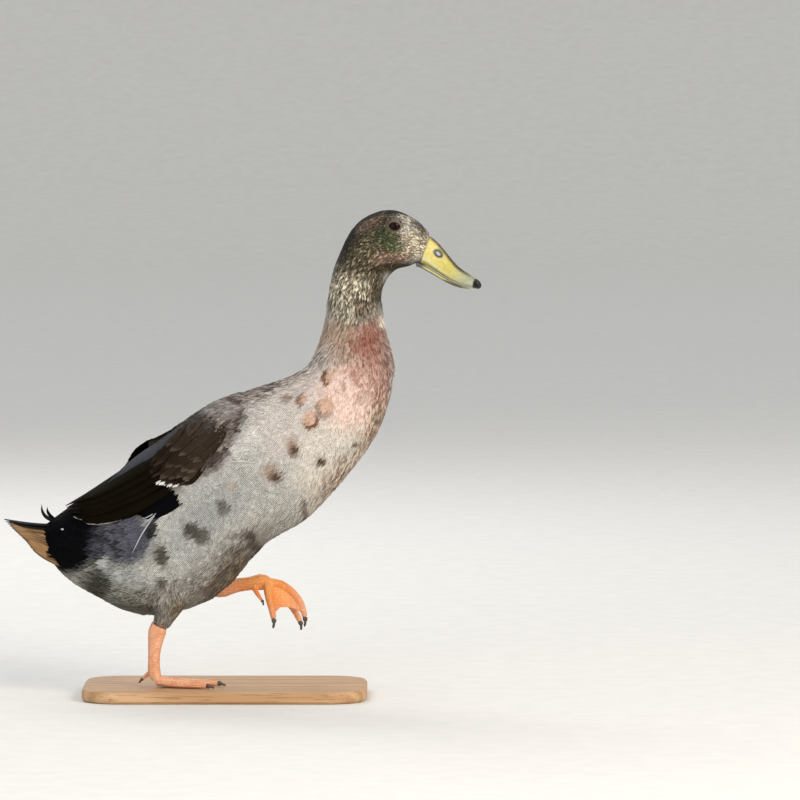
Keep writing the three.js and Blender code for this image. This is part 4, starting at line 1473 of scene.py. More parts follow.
@dataclass
class Wings:
    """The laid feathers of both wings, the lowest rows first, and the thin white plumes behind them.

    Attributes:
        skin: the body's skin.
        flight: the rows of long dark feathers.
        hump: the topmost row of the left wing, raised over the back.
        drop: how much lower the left wing is folded, in mm.
        coverts: the rows of brown feathers over them.
        plumes: the rows of thin white feathers.
    """

    skin: Skin
    flight: tuple[Row, ...] = (
        Row(4, ((-60, 186), (-52, 172)), ((-128, 160), (-108, 150)), 15, (BLACK, BLACK), (-3.6, -2.6),
            sag=1.5),
        Row(8, ((-46, 190), (-29, 174)), ((-92, 160), (-70, 150)), 11, (BLACK, BLACK_TIPPED), (-3.0, -2.3),
            sag=1.0),
        Row(1, ((-50, 178), (-50, 178)), ((-133, 150.5), (-133, 150.5)), 25, (TERTIAL_LOW, TERTIAL_LOW),
            (-2.5, -1.2), 0, 5),
        Row(4, ((-44, 192), (-34, 222)), ((-135, 154), (-141.3, 158.8)), 25, (TERTIAL, TERTIAL), (-2.2,
            -0.7), 0, 3),
        # the inner tertials over the back, painted grey as the sheen of their edges catching the light
        Row(5, ((-26, 224), (-14, 249)), ((-101, 176), (-99, 184)), 11, (SHEEN_STRIP, SHEEN_STRIP_LIGHT), (-1.5, -0.5),
            6, 0, 0.0),
    )
    hump: Row = Row(5, ((-34, 232), (-44, 208)), ((-84, 200), (-91, 184)), 17, (TERTIAL, TERTIAL), (-1.8,
        0.4), 1, -3, 0.0)
    drop: float = 9.0
    coverts: tuple[Row, ...] = (
        Row(18, ((-69, 190), (-27, 187)), ((-78, 180), (-34, 177.5)), 3.2, (WHITE, WHITE), (-1.7, -0.9), 0,
            loose=1.0),
        Row(9, ((-54, 206), (-18, 198)), ((-78, 183), (-34, 180)), 10, (BROWN_DEEP, BROWN_DEEP), (-1.3,
            -0.5), loose=1.2),
        Row(7, ((-50, 216), (-18, 204)), ((-76, 187), (-35, 184)), 13, (BROWN_DEEP, BROWN), (-1.0, -0.2),
            loose=1.5),
        Row(7, ((-41, 227), (-12, 213)), ((-66, 197), (-31, 191)), 14, (BROWN_DEEP, BROWN), (-0.9, -0.1),
            loose=2),
        Row(7, ((-29, 236), (-5, 221)), ((-54, 209), (-26, 199)), 15, (BROWN, BROWN), (-0.9, -0.1),
            loose=2),
        Row(5, ((-16, 244), (1, 228)), ((-40, 219), (-19, 208)), 16, (BROWN_GREY, BROWN), (-1.3, -0.6),
            loose=2),
    )
    plumes: tuple[Row, ...] = (
        Row(1, ((-60, 153), (-60, 153)), ((-80.4, 118.5), (-80.4, 118.5)), 1.1, (PLUME, PLUME), (0.3, 0.6),
            0, -3, 0.0),
        Row(2, ((-60, 156), (-59, 155)), ((-71, 150), (-69, 147)), 1.0, (PLUME, PLUME), (0.3, 0.9), 0, 1,
            0.0),
        Row(1, ((-141, 139), (-141, 139)), ((-143.4, 138.8), (-143.4, 138.8)), 1.6, (PLUME, PLUME), (0.0,
            0.5)),
        Row(10, ((32, 230), (24, 200)), ((13, 219), (4, 194)), 0.5, (HAIR, HAIR), (0.0, 0.6), 0, -1, 0.0,
            7),
    )

    def build(self) -> None:
        """Lays every row on both sides."""
        rng = np.random.default_rng(SEED + 1)
        flight = FeatherFinish("flight_feathers", 70, 0.4, 0.9, 0.16, 0.7, 0.00005, 0.0, 0.03, 0.06, 1.0,
            0.85)
        soft = FeatherFinish("wing_feathers", 40, 0.4, 0.5, 0.4, 0.85, 0.0001, 0.0, 0.04, 0.4, 0.3, 0.55)
        plume = FeatherFinish("plumes", 60, 0.5, 0.75, 0.2, 0.6, 0.00005)
        for side in Side:
            word, wing, body = side.word, self.skin.winged, self.skin.outer
            for name, cut, surface, rows, finish, slot in (
                ("flight_feathers", VANE, wing, self.flight, flight, "flight_feathers"),
                ("wing_feathers", COVERT, wing, self.coverts, soft, "wing_feathers"),
                ("white_plumes", QUILL, body, self.plumes, plume, "pale_feathers"),
            ):
                feathers = Feathers(f"{name}_{word}", cut)
                if side is Side.LEFT and cut is VANE:
                    lowered = [[(forward, up - self.drop) for forward, up in row.tips] for row in rows[:-1]]
                    rows = (*(replace(row, tips=tips) for row, tips in zip(rows, lowered)), self.hump)
                for index, row in enumerate(rows):
                    self.lay(feathers, surface, row, side, (index + 0.5) / len(rows), rng)
                feathers.build(slot, finish.build(), (f"wing_tip_{word}",) if cut is VANE else ())

    def lay(
        self, feathers: Feathers, surface: Surface, row: Row, side: Side, shelf: float, rng: Chance
    ) -> None:
        """Lays one row on one side."""
        lines = row.lines(feathers.cut.rows, surface, side, rng)
        steps = np.linspace(0, 1, row.count)[:, None]
        tints = mottled(row.tints[0].row() * (1 - steps) + row.tints[1].row() * steps, rng)
        level = np.linspace(0, 0.3, row.count) * MM
        low, high = (np.full(row.count, height * MM) + level for height in row.heights)
        charted = np.column_stack([steps[:, 0] * 0.9 + 0.05, np.full(row.count, shelf)])
        widths = np.full(row.count, row.width * MM) * rng.uniform(0.92, 1.08, row.count)
        feathers.lay(surface, lines, widths, (low, high), tints, charted, rng, 0.35, -side.value * row.tilt)


@dataclass
class Tail:
    """The fan of the tail and its curled feathers.

    Attributes:
        count: how many feathers the fan has.
        width: their width in mm.
        length: their length in mm.
        slope: how far the middle and the outermost ones point up, in degrees.
        tip: where the middle ones end, forward and up in mm.
        corner: where the outermost end.
        spread: how far to the side the outermost end, in mm.
        middle: the tint of the middle ones.
        outer: the tint of the outer ones.
        curl_width: the width of the curled ones, in mm.
        curls: each side's curled feather: how far to the side it is, and its line forward and up in mm.
    """

    count: int = 20
    width: float = 12.5
    length: float = 56.0
    slope: Pair = (4.0, 30.0)
    tip: Pair = (-195, 146)
    corner: Pair = (-174, 130.5)
    spread: float = 27.0
    middle: Tint = Tint(0x0A0A08, 0x1A1810, 0.1)
    outer: Tint = Tint(0x8E6E4A, 0x5C462E, 0.16)
    curl_width: float = 3.2
    curls: tuple[tuple[Side, float, tuple[Pair, ...]], ...] = (
        (Side.RIGHT, 3.0, ((-146, 143), (-154.5, 146), (-160, 151), (-161.4, 159.6))),
        (Side.LEFT, 4.0, ((-146, 143), (-152, 146.5), (-156, 151), (-156.6, 156.5))),
    )

    def build(self) -> None:
        """Lays the fan over the CAD tail, and bends up the curls."""
        rng = np.random.default_rng(SEED + 2)
        finish = FeatherFinish("tail_feathers", 60, 0.4, 0.7, 0.45, 0.65, 0.00008, 0.0, 0.15, 0.25, 1.0,
            0.85).build()
        self.fan(rng, finish)
        for side, sideways, line in self.curls:
            self.curl(side, sideways, line, rng, finish)

    def fan(self, rng: Chance, finish: Material) -> None:
        """The flat feathers, the outer ones shorter and lower."""
        vanes = Feathers("tail_feathers", VANE)
        steps = np.linspace(0, 1, VANE.rows + 1)[:, None]
        lines, tints, upright = [], [], []
        for turn in sorted(np.linspace(-1, 1, self.count), key=abs, reverse=True):
            out = abs(turn)
            bent = out**1.25
            forward, up = (a * (1 - bent) + b * bent for a, b in zip(self.tip, self.corner))
            end = at(forward, up, self.spread * math.sin(turn * math.pi / 2))
            lean = math.radians(self.slope[0] * (1 - out**1.5) + self.slope[1] * out**1.5)
            start = end + Vector((math.cos(lean), 0, -math.sin(lean))) * self.length * MM
            start.y *= 0.45
            line = np.array(start) * (1 - steps) + np.array(end) * steps
            line[:, 2] -= 4 * steps[:, 0] * (1 - steps[:, 0]) * 0.002
            lines.append(line)
            tilt = turn * math.pi * 0.44
            upright.append(np.tile(unit(np.array([0.1, math.sin(tilt), math.cos(tilt)])), (len(line), 1)))
            black = smooth(0.24 - out, -0.06, 0.06)
            tints.append(self.middle.row() * black + self.outer.row() * (1 - black))
        lines, tints, upright = np.array(lines), mottled(np.array(tints), rng), np.array(upright)
        level = np.linspace(-1.5, 0, self.count) * MM
        charted = np.column_stack([np.linspace(0.05, 0.95, self.count), np.full(self.count, 0.5)])
        widths = np.full(self.count, self.width * MM)
        vanes.lay(self.surface(), lines, widths, (level, level), tints, charted, rng, 0.0, 0.0, upright)
        vanes.build("tail_feathers", finish, ("tail",))

    def curl(
        self, side: Side, sideways: float, line: tuple[Pair, ...], rng: Chance,
        finish: Material,
    ) -> None:
        """One curled feather."""
        feathers = Feathers(f"curled_feather_{side.word}", QUILL)
        given = np.array([at(forward, up, sideways * side.value) for forward, up in line])
        stops = np.linspace(0, 1, len(line))
        wanted = np.linspace(0, 1, QUILL.rows + 1)
        lines = np.column_stack([np.polyval(np.polyfit(stops, given[:, i], 3), wanted)
            for i in range(3)])[None]
        upright = np.broadcast_to(unit(np.array([0.2, side.value, 0.1])), lines.shape)
        charted = np.array([[0.5, 0.5]])
        widths = np.array([self.curl_width * MM])
        flat = (np.zeros(1), np.zeros(1))
        tints = self.middle.row()[None]
        feathers.lay(self.surface(), lines, widths, flat, tints, charted, rng, 0.0, 0.0, upright)
        feathers.build("black_feathers", finish, (f"tail_curl_{side.word}",))

    def surface(self) -> Surface:
        """The CAD tail as a surface."""
        return Surface(mesh_of(merged("tail"), "tail"))


# ---- bill, eyes, legs and base


def plain(colour: int) -> Tint:
    """A tint of one colour."""
    return Tint(colour, colour)


@dataclass
class Bill:
    """The bill: both halves as rings round their own middle lines, with nostrils, a ridge line and a nail.

    Attributes:
        around: how many corners a ring has.
        along: how many rings there are.
        upper: the back and the belly of the upper half from root to tip, forward and up in mm.
        lower: the same of the lower half.
        reach: how far from its middle line a half is looked for.
        root: how far a half reaches into the head.
        lip: where round a ring the lip runs, in degrees from the back.
        lip_height: how far the lip stands out.
        lip_tint: its colour.
        mouth_tint: the colour of the painted shade in the line between the halves.
        nostril: the middle of the nostrils, forward and up in mm.
        nostril_size: their half length and half height.
        nostril_tilt: how far their length is turned up from forward, in degrees.
        nostril_depth: how deep they are.
        plumage: the colours of the upper half, with the painted shade and highlight of the nostrils.
        under: the colours of the lower half, with a painted shade line along its underside edge.
    """

    around: int = 64
    along: int = 64
    upper: tuple = (
        ((180.6, 396), (172.6, 371.4)), ((205, 369), (201, 355.5)), ((219.5, 358.8), (218.2, 349.2)),
        ((224.6, 351.4), (224.2, 349)),
    )
    lower: tuple = (
        ((168.6, 374), (169.5, 368.6)), ((190, 361), (190.5, 356.8)), ((210, 350.7), (210, 349.1)),
        ((215.5, 349.2), (215.3, 348.5)),
    )
    reach: float = 0.03
    root: float = 0.003
    lip: float = 130.0
    lip_height: float = 0.0002
    lip_tint: int = 0xD2D4AE
    mouth_tint: int = 0x74734E
    nostril: Pair = (187.6, 379.8)
    nostril_size: Pair = (3.2, 2.0)
    nostril_tilt: float = -42.0
    nostril_depth: float = 1.5
    plumage: Plumage = Plumage(
        plain(0xC2B65C),
        (
            Zone(plain(0xD4C67A), 181, 383, 14, 12, -40, 0.6, 0.2),
            Zone(plain(0xB4B48C), 212, 355, 14, 9, -38, 0.6, 0.2, 0.8),
            Zone(plain(0x9AA08C), 216, 352.5, 9, 7, -30, 0.5, 0.3, 0.8),
            Zone(plain(0x4A3F26), 184, 393, 8, 2.6, -41, 0.6, 0.4, 0.9),
            Zone(plain(0x42381F), 192, 384.4, 10, 2.6, -51, 0.6, 0.5, 0.9),
            Zone(plain(0x3A3420), 200.5, 374, 10, 2.6, -50, 0.6, 0.5, 0.9),
            Zone(plain(0x36342A), 209.5, 365.2, 9, 2.6, -36, 0.6, 0.5, 0.9),
            # painted shade inside the sunk nostril, and at its middle a painted highlight where light shows
            # through it
            Zone(plain(0x33363C), 187.6, 379.8, 4.9, 3.3, -42, 0.25, 0.15),
            Zone(plain(0xB4B8C0), 187.6, 379.8, 2.5, 1.4, -42, 0.5, 0.1),
            Zone(plain(0x08080A), 222.6, 354, 4.4, 8.5, -20, 0.12, 0.15),
        ),
        0.003,
    )
    under: Plumage = Plumage(
        plain(0xC6C084),
        (
            Zone(plain(0x5C5E5A), 170.5, 372, 6, 6, 0, 0.5, 0.3),
            # painted shade: a dark line along the underside edge of the lower half
            Zone(plain(0x3A3A34), 180, 362.6, 12, 1.1, -29, 0.5, 0.3, 0.9),
            Zone(plain(0x3A3A34), 200, 353, 13, 1.1, -22, 0.5, 0.3, 0.9),
        ),
        0.003,
    )

    def build(self) -> None:
        """Makes the two halves and the nail."""
        finish = self.material()
        upper = self.wrapped("bill_upper", self.upper)
        self.nostrils(upper)
        self.coloured(upper, self.plumage)
        piece("upper_bill", upper, [finish], ("bill_upper",))
        lower = self.wrapped("bill_lower", self.lower)
        paint(lower, "plumage", self.under.at(coords(lower))[:, :3])
        piece("lower_bill", lower, [finish], ("bill_lower",))
        self.nail()

    def wrapped(self, name: str, marks: tuple[tuple[Pair, ...], ...]) -> Mesh:
        """Rings drawn tight round a CAD node, the first ones sunk into the head.

        Args:
            name: the node's name, and the mesh's.
            marks: the back and the belly of the node at a few places from its root to its tip.

        Returns:
            The mesh, closed at both ends.
        """
        tree = BVHTree.FromBMesh(merged(name))
        ends = np.array([[at(*end) for end in mark] for mark in marks])
        middles, ups = ends.mean(1), unit(ends[:, 0] - ends[:, 1])
        stops = stops_of(middles)
        bm = tube(self.around, self.along)
        self.turns, self.shares = [], []
        for vertex in bm.verts:
            share = (vertex.co.z + 1) / 2
            along = float(np.clip(1 - (1 - share) ** 1.3, 0.012, 0.99)) * stops[-1]
            centre, up = (Vector(read_off([along], stops, rows)[0]) for rows in (middles, ups))
            away = (up.normalized() * vertex.co.y + Vector((0, vertex.co.x, 0))).normalized()
            struck = tree.ray_cast(centre + away * self.reach, -away, self.reach)[0] or centre
            self.turns.append(math.degrees(math.atan2(abs(vertex.co.x), vertex.co.y)))
            self.shares.append(share)
            vertex.co = struck if share > 0.001 else struck + Vector((-self.root, 0, 0))
        soften(bm, 3)
        bmesh.ops.recalc_face_normals(bm, faces=bm.faces)
        mesh = mesh_of(bm, name)
        places, turned = coords(mesh), np.array(self.turns)
        lip = np.exp(-(((turned - self.lip) / 8) ** 2)) * smooth(1 - np.array(self.shares), 0, 0.15)
        places[:, 1] += np.sign(places[:, 1]) * lip * self.lip_height
        put_coords(mesh, places)
        return mesh

    def coloured(self, mesh: Mesh, plumage: Plumage) -> None:
        """Paints a half, with its pale lip and, under it, the mouth's line painted dark as shade between
        the halves.
        """
        rows = plumage.at(coords(mesh))[:, :3]
        turned = np.array(self.turns)
        fade = smooth(1 - np.array(self.shares), 0, 0.1)
        # the pale lip, and the mouth's line as painted shade where the halves meet
        for tint, place, wide, strength in (
            (self.lip_tint, self.lip - 2, 7, 0.75), (self.mouth_tint, self.lip + 10, 4, 0.5)
        ):
            cover = (strength * fade * np.exp(-(((turned - place) / wide) ** 2)))[:, None]
            rows = rows * (1 - cover) + np.array(linear(tint)) * cover
        paint(mesh, "plumage", rows)

    def nostrils(self, mesh: Mesh) -> None:
        """Sinks the nostrils into the upper half, with a low rim round each."""
        places = coords(mesh)
        away = oval(from_side(places), self.nostril, self.nostril_size, self.nostril_tilt)
        sunk = (1 - smooth(away, 0.55, 1.15)) * self.nostril_depth - np.exp(-(((away
            - 1.4) / 0.3) ** 2)) * 0.25
        places[:, 1] -= np.sign(places[:, 1]) * sunk * MM * (np.abs(places[:, 1]) > 0.002)
        put_coords(mesh, places)

    def nail(self) -> None:
        """The dark nail at the tip, rounded from its CAD node."""
        bm = merged("bill_nail")
        bmesh.ops.subdivide_edges(bm, edges=bm.edges, cuts=2, use_grid_fill=True, smooth=0.6)
        piece("nail", mesh_of(bm, "nail"), [Horn("nail_horn", 0x08080A, 0x18181C).build()],
            ("bill_nail",))

    def material(self) -> Material:
        """Smooth satin skin over horn, with fine pores and faint mottling."""
        made, g, shader = new_material("bill")
        place = g.place()
        mottle = g.span(g.noise(place, 420.0, 4.0, 0.6), 0.35, 0.75, 0.86, 1.06)
        colour = g.mix(1.0, g.attribute("plumage").outputs["Color"], g.grey(mottle), "MULTIPLY")
        specks = g.span(g.noise(place, 1300.0, 2.0), 0.62, 0.72)
        colour = g.mix(g.math("MULTIPLY", specks, 0.25), colour, rgba(0x8C7F4A))
        rough = g.span(g.noise(place, 260.0, 3.0), 0.3, 0.7, 0.3, 0.46)
        g.dress(shader, Base_Color=colour, Roughness=rough, Normal=g.bump(g.noise(place, 900.0, 4.0, 0.6),
            0.00012))
        g.dress(shader, Specular_IOR_Level=0.25, Subsurface_Weight=0.08, Subsurface_Radius=(0.004, 0.003,
            0.001))
        return made


@dataclass(frozen=True)
class Horn:
    """Horn, as on the nail and the claws, streaked in two colours."""

    name: str
    dark: int
    light: int

    def build(self) -> Material:
        """Makes the material."""
        made, g, shader = new_material(self.name)
        streaks = g.node("Mapping", Vector=g.place(), Scale=(1.0, 1.0, 3.0))
        grain = g.span(g.noise(streaks.outputs[0], 700.0, 4.0, 0.6), 0.35, 0.7)
        colour = g.mix(grain, rgba(self.dark), rgba(self.light))
        g.dress(shader, Base_Color=colour, Roughness=g.span(grain, 0.0, 1.0, 0.25, 0.45),
            Normal=g.bump(grain, 0.00008))
        return made


def eyeball(side: Side) -> tuple[Vector, float]:
    """The middle and the radius of an eye's CAD node."""
    low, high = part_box(f"eye_{side.word}")
    return (low + high) / 2, (high.x - low.x) / 2


@dataclass
class Eyes:
    """Wet dark eyes, each a round eyeball.

    Attributes:
        iris: the radius of the iris.
        pupil: the radius of the pupil.
    """

    iris: float = 0.0046
    pupil: float = 0.0026

    def build(self) -> None:
        """Makes both eyeballs."""
        for side in Side:
            centre, radius = eyeball(side)
            bm = bmesh.new()
            turned = Matrix.Translation(centre) @ Matrix.Rotation(-math.pi / 2 * side.value, 4, "X")
            bmesh.ops.create_uvsphere(bm, u_segments=48, v_segments=32, radius=radius, matrix=turned)
            finish = self.material(centre, side)
            piece(f"eyeball_{side.word}", mesh_of(bm, "eyeball"), [finish], (f"eye_{side.word}",))

    def material(self, centre: Vector, side: Side) -> Material:
        """A brown iris round a black pupil, under a clear coat."""
        made, g, shader = new_material(f"eye_{side.word}")
        parts = g.node("SeparateXYZ", Vector=g.vector("SUBTRACT", g.place(), centre).outputs[0])
        flat = g.node("CombineXYZ", X=parts.outputs[0], Z=parts.outputs[2])
        away = g.vector("LENGTH", flat.outputs[0]).outputs["Value"]
        grain = g.span(g.noise(g.place(), 1500.0, 3.0), 0.3, 0.7)
        iris = g.mix(grain, rgba(0x200C0A), rgba(0x381512))
        inner = g.span(away, self.pupil * 0.92, self.pupil * 1.05)
        outer = g.span(away, self.iris * 0.86, self.iris)
        colour = g.mix(outer, g.mix(inner, rgba(0x020202), iris), rgba(0x0C0606))
        g.dress(shader, Base_Color=colour, Roughness=0.12, Specular_IOR_Level=0.06, Coat_Weight=0.1,
            Coat_Roughness=0.02)
        return made


@dataclass
class Lids:
    """The lids: an almond-shaped rim on each eyeball that spreads out onto the skin of the head.

    Attributes:
        half_length: half the length of the opening.
        half_height: half its height.
        tilt: how far its front corner is turned down, in degrees.
        cover: how thick they are over the eyeball at least.
        spread: how far from the opening a ring of scale 2 is.
        around: how many corners a ring has.
        rings: each ring's scale, height in metres, and share of the way from the head's skin to the
            eyeball.
    """

    half_length: float = 0.0052
    half_height: float = 0.0038
    tilt: float = -8.0
    cover: float = 0.0003
    spread: float = 0.004
    around: int = 48
    rings: tuple[Triple, ...] = (
        (0.96, -0.0006, 1.0), (1.0, 0.0002, 1.0), (1.12, 0.0006, 1.0), (1.35, 0.0004, 0.6), (1.7, -0.0001,
            0.0),
        (2.1, -0.0006, 0.0), (2.6, -0.0014, 0.0),
    )

    def outline(self, turn: float, scale: float) -> Pair:
        """The opening's forward and up at an angle, grown by scale."""
        grown = (scale - 1) * self.spread
        x = math.cos(turn) * self.half_length + math.cos(turn) * grown
        z = math.sin(turn) * abs(math.sin(turn)) ** 0.25 * self.half_height + math.sin(turn) * grown
        lean = math.radians(self.tilt)
        return x * math.cos(lean) - z * math.sin(lean), x * math.sin(lean) + z * math.cos(lean)

    def add(self, bm: BMesh, side: Side, head: Surface) -> None:
        """Adds one eye's lids to the skin.

        Args:
            bm: the skin.
            side: which eye.
            head: the head's outer surface.
        """
        centre, radius = eyeball(side)
        rings = []
        for scale, lift, on_ball in self.rings:
            made = bmesh.ops.create_circle(bm, cap_ends=False, segments=self.around, radius=1.0)["verts"]
            for index, vertex in enumerate(made):
                forward, up = self.outline(index / self.around * math.tau, scale)
                out = math.sqrt(max(0.0, radius**2 - forward**2 - up**2)) + lift
                ball = centre + Vector((forward, side.value * out, up))
                skin = head.beside((centre.x + forward) / MM, (centre.z + up - GROUND) / MM, side)
                skin = skin + Vector((0, side.value * lift, 0))
                vertex.co = ball * on_ball + skin * (1 - on_ball)
                if scale > 1 and math.hypot(forward, up) < radius:
                    vertex.co.y = side.value * max(side.value * vertex.co.y, side.value * ball.y
                        + self.cover)
            rings.append(made)
        for first, second in zip(rings, rings[1:]):
            edges = [edge for verts in (first, second) for edge in {e for v in verts for e in v.link_edges}
                     if all(v in set(verts) for v in edge.verts)]
            bmesh.ops.bridge_loops(bm, edges=edges)


@dataclass
class Legs:
    """The scaled skin of the shanks, feet and webs, and the claws.

    Attributes:
        voxel: the size of the skin's faces.
        bridge: how far the nodes are pushed out to close the cuts between them.
        rounds: how often the skin is smoothed.
        hock: where the raised leg is most orange: forward, up and to the side, in mm.
    """

    voxel: float = 0.0007
    bridge: float = 0.0003
    rounds: int = 4
    hock: Triple = (38, 84, 30)

    def skins(self) -> list[Mesh]:
        """The skin of each leg below the hock."""
        made = []
        for side in Side:
            nodes = tuple(f"{part}_{side.word}" for part in ("shank", "foot", "hind_toe"))
            made.append(sunk(fused(nodes, self.voxel, self.bridge, self.rounds), self.bridge))
        return made

    def material(self) -> Material:
        """Orange skin with small scales and cross rows, paler and pinker away from the raised hock."""
        made, g, shader = new_material("leg_skin")
        place = g.place()
        cells = g.node("TexVoronoi", Vector=place, Scale=620.0, feature="F1")
        rows = g.node("TexWave", Vector=place, Scale=130.0, Distortion=1.6, Detail=2.0, bands_direction="Z")
        scale = g.span(cells.outputs["Distance"], 0.35, 0.75)
        crease = g.math("MAXIMUM", scale, g.span(rows.outputs["Fac"], 0.75, 1.0, 0.0, 0.8))
        pale = g.span(g.vector("DISTANCE", place, at(*self.hock)).outputs["Value"], 0.012, 0.045)
        strong = g.mix(g.span(g.noise(place, 60.0, 3.0), 0.35, 0.7), rgba(0xE88C3E), rgba(0xF4A65A))
        pinkish = g.mix(g.span(g.noise(place, 90.0, 3.0), 0.35, 0.7), rgba(0xE0A078), rgba(0xF2BC94))
        colour = g.mix(g.math("MULTIPLY", crease, 0.4), g.mix(pale, strong, pinkish), rgba(0xBC7048))
        height = g.math("SUBTRACT", 1.0, crease)
        g.dress(shader, Base_Color=colour, Roughness=g.span(crease, 0.0, 1.0, 0.42, 0.62),
            Normal=g.bump(height, 0.00025))
        g.dress(shader, Subsurface_Weight=0.12, Subsurface_Radius=(0.005, 0.002, 0.001))
        return made

    def claws(self) -> None:
        """The claws of each foot, rounded from their CAD nodes."""
        finish = Horn("claw_horn", 0x322B26, 0x6A5C50).build()
        for side in Side:
            nodes = tuple(f"claw_{toe}_{side.word}" for toe in ("inner", "middle", "outer", "hind"))
            bm = gathered(nodes)
            bmesh.ops.subdivide_edges(bm, edges=bm.edges, cuts=2, use_grid_fill=True, smooth=0.7)
            piece(f"claws_{side.word}", mesh_of(bm, "claws"), [finish], nodes)


@dataclass
class Base:
    """The oiled oak board that the bird stands on.

    Attributes:
        edge: the radius of its edges.
        flat_area: how large a face must be to be shaded flat, in square metres.
    """

    edge: float = 0.0015
    flat_area: float = 1e-4

    def build(self) -> None:
        """Bevels a copy of the CAD board and gives it its grain."""
        bm = merged("stand_base")
        flat = [edge for edge in bm.edges if edge.calc_face_angle(0.0) < 0.01]
        bmesh.ops.dissolve_edges(bm, edges=flat, use_verts=True)
        rim = [edge for edge in bm.edges if edge.calc_face_angle(0.0) > 1.2]
        bmesh.ops.bevel(
            bm, geom=rim, offset=self.edge, offset_type="OFFSET", segments=4, profile=0.5, affect="EDGES",
                material=-1
        )
        mesh = mesh_of(bm, "base")
        piece("base", mesh, [self.material()], ("stand_base",))
        for polygon in mesh.polygons:
            polygon.use_smooth = polygon.area < self.flat_area

    def material(self) -> Material:
        """Oak, with long grain, pores and a satin oil."""
        made, g, shader = new_material("oiled_oak")
        along = g.node("Mapping", Vector=g.place(), Scale=(0.12, 1.0, 1.0))
        wavy = g.noise(along.outputs[0], 28.0, 4.0, 0.55)
        rings = g.node("TexWave", Vector=along.outputs[0], Scale=22.0, Distortion=11.0, Detail=3.0,
            bands_direction="Y")
        grain = g.mix(0.5, rings.outputs["Fac"], wavy)
        pores_place = g.node("Mapping", Vector=g.place(), Scale=(0.05, 1.0, 1.0))
        pores = g.span(g.noise(pores_place.outputs[0], 900.0, 2.0), 0.58, 0.68)
        bright = g.node("SeparateColor", Color=grain).outputs[0]
        colour = g.mix(g.span(bright, 0.25, 0.75), rgba(0xB48A5E), rgba(0xC8A176))
        colour = g.mix(g.math("MULTIPLY", pores, 0.5), colour, rgba(0x7A5430))
        height = g.math("SUBTRACT", bright, pores)
        g.dress(shader, Base_Color=colour, Roughness=g.span(bright, 0.0, 1.0, 0.5, 0.38),
            Normal=g.bump(height, 0.00015))
        return made


# ---- the whole bird


@dataclass
class Bird:
    """The whole bird, from its skin outwards.

    Attributes:
        plumage: the coat's colours.
        skin: the body's skin.
        legs: the legs.
        shoulder: the place on the wing, forward and up in mm, behind which no coat grows under the hem.
        elbow: the place behind which none grows at all.
        hem: how high over the base the hem is, in mm.
        fan: the same on the tail.
        rear: a place behind the bird to which both borders are square.
        hock_fade: between which shares of the bare hocks' size the skin fills the leg's full outline.
    """

    plumage: Plumage = field(default_factory=Plumage)
    skin: Skin = field(default_factory=Skin)
    legs: Legs = field(default_factory=Legs)
    shoulder: Pair = (-50, 193)
    elbow: Pair = (-62, 197)
    hem: float = 193.0
    fan: Pair = (-152, 132)
    rear: Pair = (-240, 70)
    hock_fade: Pair = (0.55, 0.8)

    def build(self) -> None:
        """Builds every piece."""
        self.skin.build()
        self.whole_skin()
        Eyes().build()
        Bill().build()
        self.legs.claws()
        Coat(self.skin, self.plumage, self.bare()).build()
        Wings(self.skin).build()
        Tail().build()
        Base().build()

    def bare(self) -> Surface:
        """Where no coat grows, as one surface: the rear and lower edge of the wings, and the tail's fan."""
        bm = bmesh.new()
        wings = [f"wing_{side.word}" for side in Side]
        cuts = [(node, (self.elbow,)) for node in wings] + [(node, (self.shoulder, None)) for node in wings]
        for node, places in (*cuts, ("tail", (self.fan,))):
            part = merged(node)
            for place in places:
                whole = part.verts[:] + part.edges[:] + part.faces[:]
                start = at(*place) if place else at(0, self.hem)
                ahead = start - at(*self.rear) if place else Vector((0, 0, 1))
                bmesh.ops.bisect_plane(part, geom=whole, plane_co=start, plane_no=ahead, clear_outer=True)
            bm.from_mesh(mesh_of(part, node))
        return Surface(mesh_of(bm, "bare"))

    def bare_hocks(self) -> Mesh:
        """The skin, let out to the full size of the legs where no feathers grow."""
        mesh = self.skin.mesh.copy()
        places = coords(mesh)
        bare = 1 - smooth(from_hocks(places), *self.hock_fade)
        near = np.flatnonzero(bare > 0)
        places[near] += (self.skin.outer.nearest(places[near])[0] - places[near]) * bare[near, None]
        put_coords(mesh, places)
        return mesh

    def whole_skin(self) -> None:
        """Joins the skin of the body, the lids and the legs to one piece, with the coat's colours."""
        bm = bmesh.new()
        bm.from_mesh(self.bare_hocks())
        for side in Side:
            Lids().add(bm, side, self.skin.outer)
        bm.faces.ensure_lookup_table()
        middles = np.array([face.calc_center_median() for face in bm.faces])
        for index in np.flatnonzero(from_hocks(middles) < 0.5).tolist():
            bm.faces[index].material_index = 1
        body = len(bm.faces)
        for leg in self.legs.skins():
            bm.from_mesh(leg)
        bm.faces.ensure_lookup_table()
        for face in bm.faces[body:]:
            face.material_index = 1
        bmesh.ops.recalc_face_normals(bm, faces=bm.faces)
        mesh = mesh_of(bm, "skin")
        paint(mesh, "plumage", self.plumage.at(coords(mesh))[:, :3])
        made, g, shader = new_material("skin")
        colour = g.attribute("plumage").outputs["Color"]
        g.dress(shader, Base_Color=colour, Normal=g.bump(g.noise(g.place(), 1500.0), 0.0001), Roughness=0.8)
        limbs = (f"{part}_{side.word}" for part in ("shank", "foot", "hind_toe") for side in Side)
        replaced = (*self.skin.nodes("wing", "flank", "thigh"), *limbs)
        piece("skin", mesh, [made, self.legs.material()], replaced)


# ---- studio


